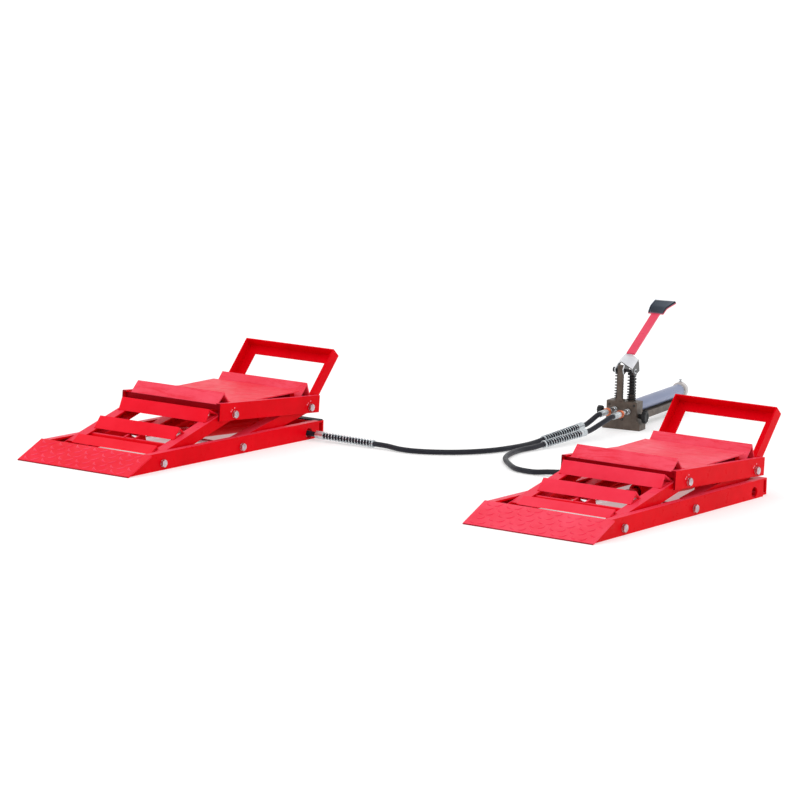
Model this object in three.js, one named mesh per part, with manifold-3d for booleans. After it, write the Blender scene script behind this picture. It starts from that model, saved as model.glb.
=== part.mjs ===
// Hydraulic car lift: two low ramp lifts and one foot pump, joined by two hoses.
// Millimetres, +Z up. +X runs across the pair of lifts and +Y from the ramp tips to the handles.
// The origin is at the middle of the footprint, on the floor.
import * as THREE from 'three';
import { mergeVertices } from 'three/addons/utils/BufferGeometryUtils.js';
import Module from 'manifold-3d';

const wasm = await Module();
wasm.setup();

// Sizes that more than one piece uses
const gap = 0.3; // between pieces that touch
const overrun = 2; // how far a cut runs past the faces that it goes through
const roundSides = 16; // sides of a round body
const pinSides = 12; // sides of a pin, a bolt and their holes
const endSteps = 5; // flats on a rounded end
const weld = 0.0001; // points nearer than this are one point

// The lift: overall sizes
const liftSpacing = 1368; // from one lift's middle to the other's
const rightLiftSetBack = 92; // how much further back the right lift stands
const rampWidth = 380;
const rampOverhang = 9; // past the rails at each side
const rampRun = 97;
const rampLip = 3; // height of the ramp's front edge
const rampThickness = 4;

// Base frame
const railHalfWidth = rampWidth / 2 - rampOverhang; // to the outside of the rails
const railHeight = 47;
const railRear = 853;
const railFront = 12;
const railWall = 5;
const railFlange = 19.5;
const endCap = 5; // plate that closes each rail
const crossWall = 5;
const crossRear = 886; // back of the rear cross channel
const crossHeight = 44;
const crossInset = 9;
const crossHalfWidth = railHalfWidth - crossInset;
const tieFront = 50; // flat bar under the ramp
const tieDepth = 30;
const tieRise = 4;
const tieThickness = 10;
const hosePortY = 806; // round holes in both rails for the hose
const hosePortZ = 17.2;
const hosePortRadius = 15;

// Pivots: through bolts with a hexagon head at each end
const boltRadius = 6;
const boltClearance = 0.6;
const boltHeadWidth = 19; // across flats
const boltHeadHeight = 7.5;
const hexagonSides = 6;
const baseFrontY = 155.5;
const baseMidY = 499.5;
const basePivotZ = 18.4;

// Arms
const armLength = 334; // pivot to pivot, both pairs of arms
const railClearance = 1.5; // from the arms to the rails' flanges
const armHalfWidth = railHalfWidth - railFlange - railClearance;
const armHalfHeight = 16;
const armBarWidth = 32;
const armWall = 4;
const armFlangeInset = 14; // flanges stop short of the pivots
const bossLength = 30; // of the rear arm's bearings at the base
const crossTubeRadius = 12;
const tieBarAt = 88; // along the climb arm
const tieBarRadius = 11;
const leftClimbDegrees = 15.8; // slope of the climb arm at rest
const leftRearDegrees = 11.8;
const leftPlatformDegrees = 3.65; // the platform dips to the rear
const rightClimbDegrees = 12;
const rightRearDegrees = 8.8;
const rightPlatformDegrees = 2.95;
const rearTieAt = 285; // along the rear arm
const rearTieRadius = 10;
const slotHalfWidth = 8.2; // the open pivot at the top of the rear arm
const slotReach = 3.6;

// Slats: bent plate, each one steeper than the last
const slatThickness = 4;
const topSlatSetBack = 104; // its front foot, from the arm's upper pivot
const slatSeatShares = [0.026, 0.461, 1]; // front feet along the climb arm
const slatSeats = slatSeatShares.map((share) => share * (armLength - topSlatSetBack));
const slatRuns = [34, 32.4, 24.4]; // front leg, along the arm
const slatRises = [11, 23.5, 29.1];
const slatBacks = [3.6, 17, 34.7]; // rear leg, along the arm
const slatInsets = [25, 23, 9];
const slatHalfWidths = slatInsets.map((inset) => armHalfWidth - inset);
const slatNames = ['slat_low', 'slat_mid', 'slat_top'];

// Ram
const ramPinY = 800;
const ramPinZ = 26;
const ramPinRadius = 7;
const pinClearance = 0.3;
const ramSeat = 120; // along the climb arm, to the rod's pin
const rodPinRadius = 8;
const rodEyeRadius = 13;
const rodEyeHalfWidth = 13.5;
const rodRadius = 11;
const rodLength = 470;
const ramRadius = 22;
const ramBore = 15.5;
const ramEndClearance = 4.5; // from the open end to the middle bolt
const ramLength = ramPinY - baseMidY - boltRadius - ramEndClearance; // from the pin to the open end
const ramCap = 40;
const ramNeck = 18; // from the pin to the wide part
const ramEyeHalfWidth = 12;
const ramEyeRadius = 13.5;
const ramPortAt = 30;
const ramPortRadius = 8;
const ramPortReach = 36;
const lugThickness = 6;
const lugGap = 1; // at each side of the eye
const lugHalfHeight = 13;
const lugReach = 10; // past the tie bar
const baseLugFront = 786;
const baseLugFoot = 4;

// Platform
const platformClearance = 5; // from the arms to the channels' walls
const platformWall = 5;
const platformHalfWidth = armHalfWidth + platformClearance + platformWall;
const platformFlange = 14;
const platformFront = -66.5; // along the platform from the front pivot
const platformRear = 390.7;
const platformTop = 32;
const platformBottom = -16;
const platformPivots = 349; // front pivot to rear pivot
const barThickness = 5;
const barTop = 27.5;
const frontBarStart = -58;
const frontBarEnd = 14;
const frontLipBottom = 13; // of the bar's edge that turns down
const midBarStart = 74;
const midBarEnd = 100;
const rearBarStart = 318;
const rearBarEnd = 384;
const endPlateBottom = -2;
const postStart = 300; // bar that carries the back of the cradle
const postInset = 20; // from the cradle's edges
const cradleInset = 18;
const cradleHalfWidth = platformHalfWidth - cradleInset;
const cradleThickness = 4;
const cradleStart = 8;
const cradleFold = 85;
const cradleEnd = 318;
const cradleFrontTop = 31.8;
const cradleFoldTop = 29.5;
const cradleRearTop = 47;
const chockInset = 20;
const chockHalfWidth = platformHalfWidth - chockInset;
const chockThickness = 4;
const frontChock = { foot: -54, peak: -26, height: 59, back: 2 };
const rearChock = { foot: 324, peak: 354, height: 66.5, back: 371 };

// Handle of angle iron, leaning to the rear
const handleInset = 15;
const handleHalfWidth = platformHalfWidth - handleInset;
const handleLegWidth = 32;
const handleWall = 4;
const handleLeanDegrees = 38;
const handleTopY = 465; // front top edge, on the platform
const handleTopZ = 157;
const handleFoot = 5;

// Pump: its own frame runs from the middle of the block's front foot
const pumpX = 46;
const pumpY = 1573;
const pumpDegrees = 9;
const blockHalfWidth = 47;
const blockHeight = 82;
const blockDepth = 46;
const footHalfWidth = 58;
const footHeight = 16;
const flareHeight = 32;
const plungerNames = ['left', 'right'];
const plungerAcross = [-20, 19];
const plungerBack = 25;
const plungerRadius = 7.5;
const plungerDepth = 38; // below the block's top
const plungerBore = 50; // depth of its hole
const plungerCapRadius = 13;
const plungerCapHeight = 6;
const springTop = 157; // underside of the plungers' caps
const glandRadius = 9;
const glandHeight = 20;
const springRadius = 11.6; // middle of the wire
const springWire = 1.9;
const springCurls = 9;
const springCrowding = 1.2; // above 1, the lower curls lie closer together

const linkAcross = -8; // middle of the bar that carries the pedal's pin
const linkFront = -1;
const linkThickness = 11;
const linkWidth = 16;
const linkTop = 187;
const linkFootWidth = 26;
const linkFootHeight = 6;
const fulcrumZ = 172;
const fulcrumRadius = 3.5;
const fulcrumLeft = -31;
const fulcrumRight = 39.5;
const fulcrumHeadRadius = 7.5;
const fulcrumHeadLength = 5.5;

// Pedal: its frame lies along the lever, from the pin
const leverDegrees = 27.5; // slope at rest
const headLeft = -24.5;
const headRight = 37;
const headShoulder = -10; // where the top begins to slope down to the left
const headTop = 19;
const headLeftTop = 8;
const headLeftNear = 15; // where the left side begins, behind the link
const headLeftFar = 42;
const headTipFar = 63; // the plate's furthest point, at the shoulder
const headNeck = 12; // where the plate narrows to the lever
const headNeckFar = 51.5;
const headPlate = 3.5;
const earGap = 1; // between the link and the middle ear
const earNear = -9; // ear outlines: along the lever and above the pin
const earBottom = -9;
const earArchNear = 6; // clear of the plungers' caps
const earArch = -10.5;
const earToeFar = 26;
const earToe = -17;
const earBack = 54;
const earBackDrop = 10;
const pressRadius = 5; // cross bar that presses on the plungers
const rightEarNear = -17;
const rightEarFar = 33;
const headPlan = [
  [headLeft, headLeftNear], [headShoulder, headLeftNear], [headRight, rightEarNear], [headRight, rightEarFar],
  [headNeck, headNeckFar], [headShoulder, headTipFar], [headLeft, headLeftFar],
];
const leverAcross = 5.5;
const leverWidth = 25;
const leverThickness = 6;
const leverStart = 52;
const leverEnd = 257;
const padSteepDegrees = 34; // slopes of the pad's two parts
const padFlatDegrees = 12;
const padSteepLength = 24;
const padFlatLength = 57;
const padNearHalf = 24;
const padFarHalf = 34;
const padPlate = 3;
const padRubber = 8;

// Tank behind the block
const tankAcross = 16;
const tankDrop = 20; // its middle, from the block's top
const tankZ = blockHeight - tankDrop;
const tankRadius = 18.5;
const tankEnd = 408;
const tankCapRadius = 24;
const tankCapLength = 20;
const breatherRadius = 6;
const breatherHeight = 9;
const bracketHalfWidth = 20; // channel under the tank
const bracketGap = 1.5; // under the tank
const bracketTop = tankZ - tankRadius - bracketGap;
const bracketDepth = 20;
const bracketBottom = bracketTop - bracketDepth;
const bracketWall = 3;
const bracketEnd = 392;
const bracketFootDepth = 20; // its rear foot

const knobNames = ['left', 'right'];
const knobRadius = [12, 19.5];
const knobLength = [16, 12];
const knobStem = [18, 12];
const knobStemRadius = [4, 7];
const knobY = 20;
const knobZ = [49, 40];

const couplerNames = ['back', 'front'];
const couplerAcross = [-18.6, 22];
const couplerZ = [58, 55];
const couplerStub = 56;
const couplerStubRadius = 8.5;
const couplerRing = 12;
const couplerRingRadius = 11.5;
const ferruleLength = 48;
const ferruleRadius = 9;

// Hoses, and the coiled spring guards at their ends
const hoseRadius = 7.25;
const hoseSides = 8;
const hoseSteps = 44;
const hoseLead = 40; // straight length beyond each ram's port and each guard
const couplerLead = 15; // shorter ones, at a coupler and at the guard before it
const guardLead = 20;
const guardClearance = 0.6;
const guardWire = 1.4;
const guardRadius = 9.5; // middle of the wire
const sleeveRadius = 11;
const sleeveLength = 26;
const endRingLength = 5;
const liftGuardCurls = 17;
const pumpGuardCurls = 19;
const curlSteps = 8;
const curlSides = 5;

// Routes, chosen by hand: x from midway between the lifts, y from the left lift's ramp tip
const leftLiftGuard = [[-479, 807.8, 16.7], [-290, 820, 12]];
const rightLiftGuard = [[499, 896, 17.2], [329, 815, 12]];
const backPumpGuard = [[31, 1386, 32], [13, 1210, 12]];
const frontPumpGuard = [[76, 1330, 26], [57, 1143, 12]];
const leftFloor = [[-200, 818, 8.5], [-146, 829, 8], [-66, 886, 8], [-12, 974, 8], [10, 1075, 8]];
const rightFloor = [[258, 786, 8], [202, 790, 8], [132, 850, 8], [85, 909, 8], [58, 974, 8], [46, 1042, 8]];

// Colours with their gloss
const redPaint = { color: 0xe0102a, roughness: 0.3, metalness: 0 };
const zinc = { color: 0xc4c8cc, roughness: 0.35, metalness: 0.9 };
const steel = { color: 0x9a9c9e, roughness: 0.4, metalness: 0.9 };
const phosphate = { color: 0x514039, roughness: 0.55, metalness: 0.4 };
const black = { color: 0x26262c, roughness: 0.6, metalness: 0 };
const tankGrey = { color: 0x8a93b0, roughness: 0.35, metalness: 0.3 };
const paleGrey = { color: 0xcac6c5, roughness: 0.5, metalness: 0 };
const hoseBlack = { color: 0x363642, roughness: 0.5, metalness: 0 };

const quarterTurn = Math.PI / 2;
const fullTurn = 2 * Math.PI;
const xAxis = new THREE.Vector3(1, 0, 0);
const yAxis = new THREE.Vector3(0, 1, 0);
const zAxis = new THREE.Vector3(0, 0, 1);
const radians = THREE.MathUtils.degToRad;

// Closed shapes

function box([x0, x1], [y0, y1], [z0, z1]) {
  const geometry = new THREE.BoxGeometry(x1 - x0, y1 - y0, z1 - z0);
  return geometry.translate((x0 + x1) / 2, (y0 + y1) / 2, (z0 + z1) / 2);
}

function barX(radius, [x0, x1], y, z, sides = roundSides) {
  const geometry = new THREE.CylinderGeometry(radius, radius, x1 - x0, sides);
  return geometry.rotateZ(quarterTurn).translate((x0 + x1) / 2, y, z);
}

function barY(radius, [y0, y1], x, z, sides = roundSides) {
  const geometry = new THREE.CylinderGeometry(radius, radius, y1 - y0, sides);
  return geometry.translate(x, (y0 + y1) / 2, z);
}

function barZ(radius, [z0, z1], x, y, sides = roundSides) {
  const geometry = new THREE.CylinderGeometry(radius, radius, z1 - z0, sides);
  return geometry.rotateX(quarterTurn).translate(x, y, (z0 + z1) / 2);
}

function extruded(points, length) {
  const shape = new THREE.Shape(points.map(([u, v]) => new THREE.Vector2(u, v)));
  return new THREE.ExtrudeGeometry(shape, { depth: length, bevelEnabled: false });
}

// An outline of (y, z) points, drawn out along x
function acrossX(points, [x0, x1]) {
  const turn = new THREE.Matrix4().makeBasis(yAxis, zAxis, xAxis);
  return extruded(points, x1 - x0).applyMatrix4(turn).translate(x0, 0, 0);
}

// An outline of (x, z) points, drawn out along y
function acrossY(points, [y0, y1]) {
  const turn = new THREE.Matrix4().makeBasis(xAxis, zAxis, yAxis.clone().negate());
  return extruded(points, y1 - y0).applyMatrix4(turn).translate(0, y1, 0);
}

// An outline of (x, y) points, drawn out along z
function acrossZ(points, [z0, z1]) {
  return extruded(points, z1 - z0).translate(0, 0, z0);
}

// A bar from one point to another, with round ends about both of them
function roundedBar(from, to, radius) {
  const points = [];
  for (let step = 0; step <= endSteps; step += 1) {
    const angle = (Math.PI * step) / endSteps - quarterTurn;
    points.push([to + radius * Math.cos(angle), radius * Math.sin(angle)]);
  }
  for (let step = 0; step <= endSteps; step += 1) {
    const angle = (Math.PI * step) / endSteps + quarterTurn;
    points.push([from + radius * Math.cos(angle), radius * Math.sin(angle)]);
  }
  return points;
}

// Plate bent along a ridge, with both feet cut level
function bentPlate([foot, level], [peak, height], back, thickness) {
  const frontSlope = Math.atan2(height - level, peak - foot);
  const backSlope = Math.atan2(height - level, back - peak);
  const innerFoot = foot + thickness / Math.sin(frontSlope);
  const innerBack = back - thickness / Math.sin(backSlope);
  const frontRise = Math.tan(frontSlope);
  const backRise = Math.tan(backSlope);
  const reach = ((innerBack - innerFoot) * backRise) / (frontRise + backRise);
  const inner = [innerFoot + reach, level + reach * frontRise];
  return [[foot, level], [peak, height], [back, level], [innerBack, level], inner, [innerFoot, level]];
}

// A sheet whose top follows the points
function sheet(points, thickness) {
  const under = points.map(([u, v]) => [u, v - thickness]);
  return [...points, ...under.reverse()];
}

// The range on one side of the middle plane
function onSide(side, inner, outer) {
  return side > 0 ? [inner, outer] : [-outer, -inner];
}

function either(make) {
  return [-1, 1].flatMap(make);
}

// Joining and cutting

function toSolid(geometry) {
  const bare = geometry.clone();
  bare.deleteAttribute('normal');
  bare.deleteAttribute('uv');
  const merged = mergeVertices(bare, weld);
  const vertProperties = new Float32Array(merged.getAttribute('position').array);
  const triVerts = new Uint32Array(merged.index.array);
  return new wasm.Manifold(new wasm.Mesh({ numProp: 3, vertProperties, triVerts }));
}

function toGeometry(solid) {
  const { vertProperties, triVerts } = solid.getMesh();
  const geometry = new THREE.BufferGeometry();
  geometry.setAttribute('position', new THREE.BufferAttribute(vertProperties, 3));
  return geometry.setIndex(new THREE.BufferAttribute(triVerts, 1));
}

function join(...parts) {
  const solids = parts.map(toSolid);
  return toGeometry(solids.reduce((sum, next) => sum.add(next)));
}

function cut(body, ...tools) {
  return toGeometry(tools.map(toSolid).reduce((rest, tool) => rest.subtract(tool), toSolid(body)));
}

function common(body, ...others) {
  return toGeometry(others.map(toSolid).reduce((rest, other) => rest.intersect(other), toSolid(body)));
}

function named(name, geometry, look) {
  const mesh = new THREE.Mesh(geometry, new THREE.MeshStandardMaterial(look));
  mesh.name = name;
  return mesh;
}

// Wound forms

// A closed tube round a list of centres, each with a direction across the path
function strand(centres, acrosses, radius, sides) {
  const positions = [];
  centres.forEach((centre, i) => {
    const before = centres[Math.max(i - 1, 0)];
    const after = centres[Math.min(i + 1, centres.length - 1)];
    const along = after.clone().sub(before).normalize();
    const across = acrosses[i].clone().addScaledVector(along, -acrosses[i].dot(along)).normalize();
    const third = along.clone().cross(across);
    for (let side = 0; side < sides; side += 1) {
      const angle = (fullTurn * side) / sides;
      const point = centre.clone().addScaledVector(across, radius * Math.cos(angle));
      point.addScaledVector(third, radius * Math.sin(angle));
      positions.push(...point.toArray());
    }
  });
  const indices = [];
  for (let ring = 0; ring < centres.length - 1; ring += 1) {
    for (let side = 0; side < sides; side += 1) {
      const next = (side + 1) % sides;
      const low = ring * sides;
      const high = low + sides;
      indices.push(low + side, low + next, high + next, low + side, high + next, high + side);
    }
  }
  const last = (centres.length - 1) * sides;
  for (let side = 1; side < sides - 1; side += 1) {
    indices.push(0, side + 1, side);
    indices.push(last, last + side, last + side + 1);
  }
  const geometry = new THREE.BufferGeometry();
  geometry.setAttribute('position', new THREE.Float32BufferAttribute(positions, 3));
  return geometry.setIndex(indices);
}

// The least distance between the surfaces of a coil's neighbouring curls
function leastGap(centres, wire) {
  let least = Infinity;
  for (let i = 0; i < centres.length; i += 1) {
    for (let j = i + curlSteps - 1; j < centres.length; j += 1) {
      least = Math.min(least, centres[i].distanceTo(centres[j]) - 2 * wire);
    }
  }
  return least;
}

// A coil about z whose ends run straight for one wire's diameter
function coil(name, radius, wire, curls, [from, to], crowding = 1) {
  const centres = [];
  const acrosses = [];
  const lead = 2 * wire;
  const addPoint = (turns, z) => {
    const angle = fullTurn * turns;
    const outward = new THREE.Vector3(Math.cos(angle), Math.sin(angle), 0);
    acrosses.push(outward);
    centres.push(outward.clone().multiplyScalar(radius).setZ(z));
  };
  addPoint(0, from);
  const steps = curls * curlSteps;
  for (let step = 0; step <= steps; step += 1) {
    const share = step / steps;
    addPoint(curls * share, from + lead + (to - from - 2 * lead) * share ** crowding);
  }
  addPoint(curls, to);
  const inner = centres.slice(1, -1);
  console.log(`${name}: least gap between curls ${leastGap(inner, wire).toFixed(2)} mm`);
  return strand(centres, acrosses, wire, curlSides);
}

// Base of a lift

const rampSlope = Math.atan2(railHeight - rampLip, rampRun);
const rampDrop = rampThickness / Math.cos(rampSlope); // from the plate's top straight down to its underside

function rampPlate() {
  const foot = (rampDrop - rampLip) / Math.tan(rampSlope);
  const outline = [[0, 0], [0, rampLip], [rampRun, railHeight], [rampRun, railHeight - rampDrop], [foot, 0]];
  return acrossX(outline, [-rampWidth / 2, rampWidth / 2]);
}

// The space over the rails' front ends that the ramp plate fills
function rampSpace() {
  const under = (y) => rampLip + y * Math.tan(rampSlope) - rampDrop - gap;
  const start = railFront - overrun;
  const end = rampRun + gap;
  const top = railHeight + overrun;
  return acrossX([[start, under(start)], [end, under(end)], [end, top], [start, top]], [-rampWidth, rampWidth]);
}

function rail(side) {
  const length = [railFront, railRear];
  return [
    box(onSide(side, railHalfWidth - railWall, railHalfWidth), length, [0, railHeight]),
    box(onSide(side, railHalfWidth - railFlange, railHalfWidth), length, [0, railWall]),
    box(onSide(side, railHalfWidth - railFlange, railHalfWidth), length, [railHeight - railWall, railHeight]),
    box(onSide(side, railHalfWidth - railFlange, railHalfWidth), [railRear - endCap, railRear], [0, railHeight]),
  ];
}

function rearCross() {
  const across = [-crossHalfWidth, crossHalfWidth];
  const depth = [railRear - endCap, crossRear];
  return [
    box(across, [crossRear - crossWall, crossRear], [0, crossHeight]),
    box(across, depth, [0, crossWall]),
    box(across, depth, [crossHeight - crossWall, crossHeight]),
  ];
}

function baseLug(side) {
  const inner = ramEyeHalfWidth + lugGap;
  return box(onSide(side, inner, inner + lugThickness), [baseLugFront, crossRear], [baseLugFoot, crossHeight]);
}

function hosePort(side) {
  const through = onSide(side, railHalfWidth - railWall - overrun, railHalfWidth + overrun);
  return barX(hosePortRadius, through, hosePortY, hosePortZ);
}

function baseFrame() {
  const tieHalfWidth = railHalfWidth - railWall / 2;
  const pinHalfLength = ramEyeHalfWidth + lugGap + lugThickness;
  const body = join(
    ...either(rail),
    ...rearCross(),
    ...either(baseLug),
    barX(ramPinRadius, [-pinHalfLength, pinHalfLength], ramPinY, ramPinZ, pinSides),
    box([-tieHalfWidth, tieHalfWidth], [tieFront, tieFront + tieDepth], [tieRise, tieRise + tieThickness]),
  );
  const through = [-railHalfWidth - overrun, railHalfWidth + overrun];
  const hole = boltRadius + boltClearance;
  return cut(
    body,
    rampSpace(),
    barX(hole, through, baseFrontY, basePivotZ, pinSides),
    barX(hole, through, baseMidY, basePivotZ, pinSides),
    ...either(hosePort),
  );
}

// A bolt through the whole lift, with a hexagon head at each end
function throughBolt(halfLength) {
  const headRadius = boltHeadWidth / Math.sqrt(3);
  const seat = halfLength + gap;
  const head = (side) => barX(headRadius, onSide(side, seat, seat + boltHeadHeight), 0, 0, hexagonSides);
  return join(barX(boltRadius, [-seat - overrun, seat + overrun], 0, 0, pinSides), ...either(head));
}

// Arms: their frame runs along the arm from the base pivot

function armBar(side) {
  const inner = armHalfWidth - armBarWidth;
  const flange = onSide(side, inner, armHalfWidth);
  const length = [armFlangeInset, armLength - armFlangeInset];
  return [
    acrossX(roundedBar(0, armLength, armHalfHeight), onSide(side, armHalfWidth - armWall, armHalfWidth)),
    box(flange, length, [armHalfHeight - armWall, armHalfHeight]),
    box(flange, length, [-armHalfHeight, armWall - armHalfHeight]),
  ];
}

function climbArm() {
  const inside = [armWall / 2 - armHalfWidth, armHalfWidth - armWall / 2];
  const lugInner = rodEyeHalfWidth + lugGap;
  const pinHalfLength = lugInner + lugThickness;
  const lug = (side) =>
    box(onSide(side, lugInner, pinHalfLength), [tieBarAt, ramSeat + lugReach], [-lugHalfHeight, lugHalfHeight]);
  const body = join(
    ...either(armBar),
    barX(crossTubeRadius, inside, 0, 0, pinSides),
    barX(crossTubeRadius, inside, armLength, 0, pinSides),
    barX(tieBarRadius, inside, tieBarAt, 0, pinSides),
    ...either(lug),
    barX(rodPinRadius, [-pinHalfLength, pinHalfLength], ramSeat, 0, pinSides),
  );
  const through = [-armHalfWidth - overrun, armHalfWidth + overrun];
  const hole = boltRadius + boltClearance;
  return cut(body, barX(hole, through, 0, 0, pinSides), barX(hole, through, armLength, 0, pinSides));
}

function rearArm() {
  const inside = [armWall / 2 - armHalfWidth, armHalfWidth - armWall / 2];
  const boss = (side) => {
    const outer = armHalfWidth - armWall / 2;
    return barX(crossTubeRadius, onSide(side, outer - bossLength, outer), 0, 0, pinSides);
  };
  const body = join(...either(armBar), ...either(boss), barX(rearTieRadius, inside, rearTieAt, 0, pinSides));
  const through = [-armHalfWidth - overrun, armHalfWidth + overrun];
  const slot = roundedBar(armLength - slotReach, armLength + slotReach, slotHalfWidth);
  return cut(body, barX(boltRadius + boltClearance, through, 0, 0, pinSides), acrossX(slot, through));
}

function slat(index) {
  const foot = slatSeats[index];
  const level = armHalfHeight + gap;
  const peak = foot + slatRuns[index];
  const outline = bentPlate([foot, level], [peak, level + slatRises[index]], peak + slatBacks[index], slatThickness);
  return acrossX(outline, [-slatHalfWidths[index], slatHalfWidths[index]]);
}

// Ram: both pieces have their pin at zero and lie along y

function ramCylinder(portSide) {
  const eye = [-ramEyeHalfWidth, ramEyeHalfWidth];
  const body = join(
    barY(ramRadius, [-ramLength, -ramNeck], 0, 0),
    barX(ramEyeRadius, eye, 0, 0),
    box(eye, [-ramPortAt, 0], [-ramEyeRadius, ramEyeRadius]),
    barX(ramPortRadius, onSide(portSide, 0, ramPortReach), -ramPortAt, 0, pinSides),
  );
  const pinHole = [-ramEyeHalfWidth - overrun, ramEyeHalfWidth + overrun];
  return cut(
    body,
    barY(ramBore, [-ramLength - overrun, -ramCap], 0, 0),
    barX(ramPinRadius + pinClearance, pinHole, 0, 0, pinSides),
  );
}

function ramRod() {
  const eye = [-rodEyeHalfWidth, rodEyeHalfWidth];
  const through = [-rodEyeHalfWidth - overrun, rodEyeHalfWidth + overrun];
  const body = join(barX(rodEyeRadius, eye, 0, 0), barY(rodRadius, [0, rodLength], 0, 0, pinSides));
  return cut(body, barX(rodPinRadius + pinClearance, through, 0, 0, pinSides));
}

// Platform: its frame runs from the front pivot

// Height of the cradle's underside
function cradleUnder(y) {
  const rise = (cradleRearTop - cradleFoldTop) / (cradleEnd - cradleFold);
  return cradleFoldTop + (y - cradleFold) * rise - cradleThickness;
}

function platformSide(side) {
  const length = [platformFront, platformRear];
  const inner = platformHalfWidth - platformFlange;
  return [
    box(onSide(side, platformHalfWidth - platformWall, platformHalfWidth), length, [platformBottom, platformTop]),
    box(onSide(side, inner, platformHalfWidth), length, [platformTop - platformWall, platformTop]),
  ];
}

function platformFrame() {
  const across = [platformWall / 2 - platformHalfWidth, platformHalfWidth - platformWall / 2];
  const foldBarTop = cradleFoldTop - cradleThickness - gap;
  const postAcross = [postInset - cradleHalfWidth, cradleHalfWidth - postInset];
  const post = [
    [postStart, cradleUnder(postStart) - gap],
    [rearBarStart, cradleUnder(rearBarStart) - gap],
    [rearBarStart + barThickness, barTop - barThickness],
    [postStart, barTop - barThickness],
  ];
  const body = join(
    ...either(platformSide),
    box(across, [frontBarStart, frontBarEnd], [barTop - barThickness, barTop]),
    box(across, [frontBarStart, frontBarStart + barThickness], [frontLipBottom, barTop]),
    box(across, [midBarStart, midBarEnd], [foldBarTop - barThickness, foldBarTop]),
    box(across, [rearBarStart, rearBarEnd], [barTop - barThickness, barTop]),
    box(across, [postStart, rearBarStart + barThickness], [barTop - 2 * barThickness, barTop - barThickness]),
    acrossX(post, postAcross),
    box(across, [rearBarEnd - barThickness, platformRear], [barTop - barThickness, barTop]),
    box(across, [platformRear - barThickness, platformRear], [endPlateBottom, barTop]),
  );
  const through = [-platformHalfWidth - overrun, platformHalfWidth + overrun];
  const hole = boltRadius + boltClearance;
  return cut(body, barX(hole, through, 0, 0, pinSides), barX(hole, through, platformPivots, 0, pinSides));
}

function wheelCradle() {
  const top = [[cradleStart, cradleFrontTop], [cradleFold, cradleFoldTop], [cradleEnd, cradleRearTop]];
  return acrossX(sheet(top, cradleThickness), [-cradleHalfWidth, cradleHalfWidth]);
}

function chock({ foot, peak, height, back }) {
  const outline = bentPlate([foot, barTop + gap], [peak, height], back, chockThickness);
  return acrossX(outline, [-chockHalfWidth, chockHalfWidth]);
}

// A rectangular frame without its bottom side
function arch(halfWidth, width, bottom, depth) {
  const inner = halfWidth - width;
  const points = [
    [-halfWidth, bottom], [-inner, bottom], [-inner, -width], [inner, -width],
    [inner, bottom], [halfWidth, bottom], [halfWidth, 0], [-halfWidth, 0],
  ];
  return acrossZ(points, [0, depth]);
}

// Its frame starts at the rear top edge, with y up along the legs and z towards the front
function handle() {
  const lean = radians(handleLeanDegrees);
  const up = new THREE.Vector3(0, Math.sin(lean), Math.cos(lean));
  const forward = new THREE.Vector3(0, -Math.cos(lean), Math.sin(lean));
  const topY = handleTopY + handleLegWidth * Math.cos(lean);
  const topZ = handleTopZ - handleLegWidth * Math.sin(lean);
  const bottom = (handleFoot - topZ) / Math.cos(lean);
  const angleIron = join(
    arch(handleHalfWidth, handleLegWidth, bottom, handleWall),
    arch(handleHalfWidth, handleWall, bottom, handleLegWidth),
  );
  angleIron.applyMatrix4(new THREE.Matrix4().makeBasis(xAxis, up, forward)).translate(0, topY, topZ);
  const platform = box(
    [-platformHalfWidth, platformHalfWidth],
    [postStart, platformRear + gap],
    [platformBottom - handleLegWidth, barTop + gap],
  );
  return cut(angleIron, platform);
}

// One whole lift

function placed(parent, y, z, slope, ...meshes) {
  const group = new THREE.Group();
  group.position.set(0, y, z);
  group.rotation.x = slope;
  group.add(...meshes);
  parent.add(group);
  return group;
}

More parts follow.
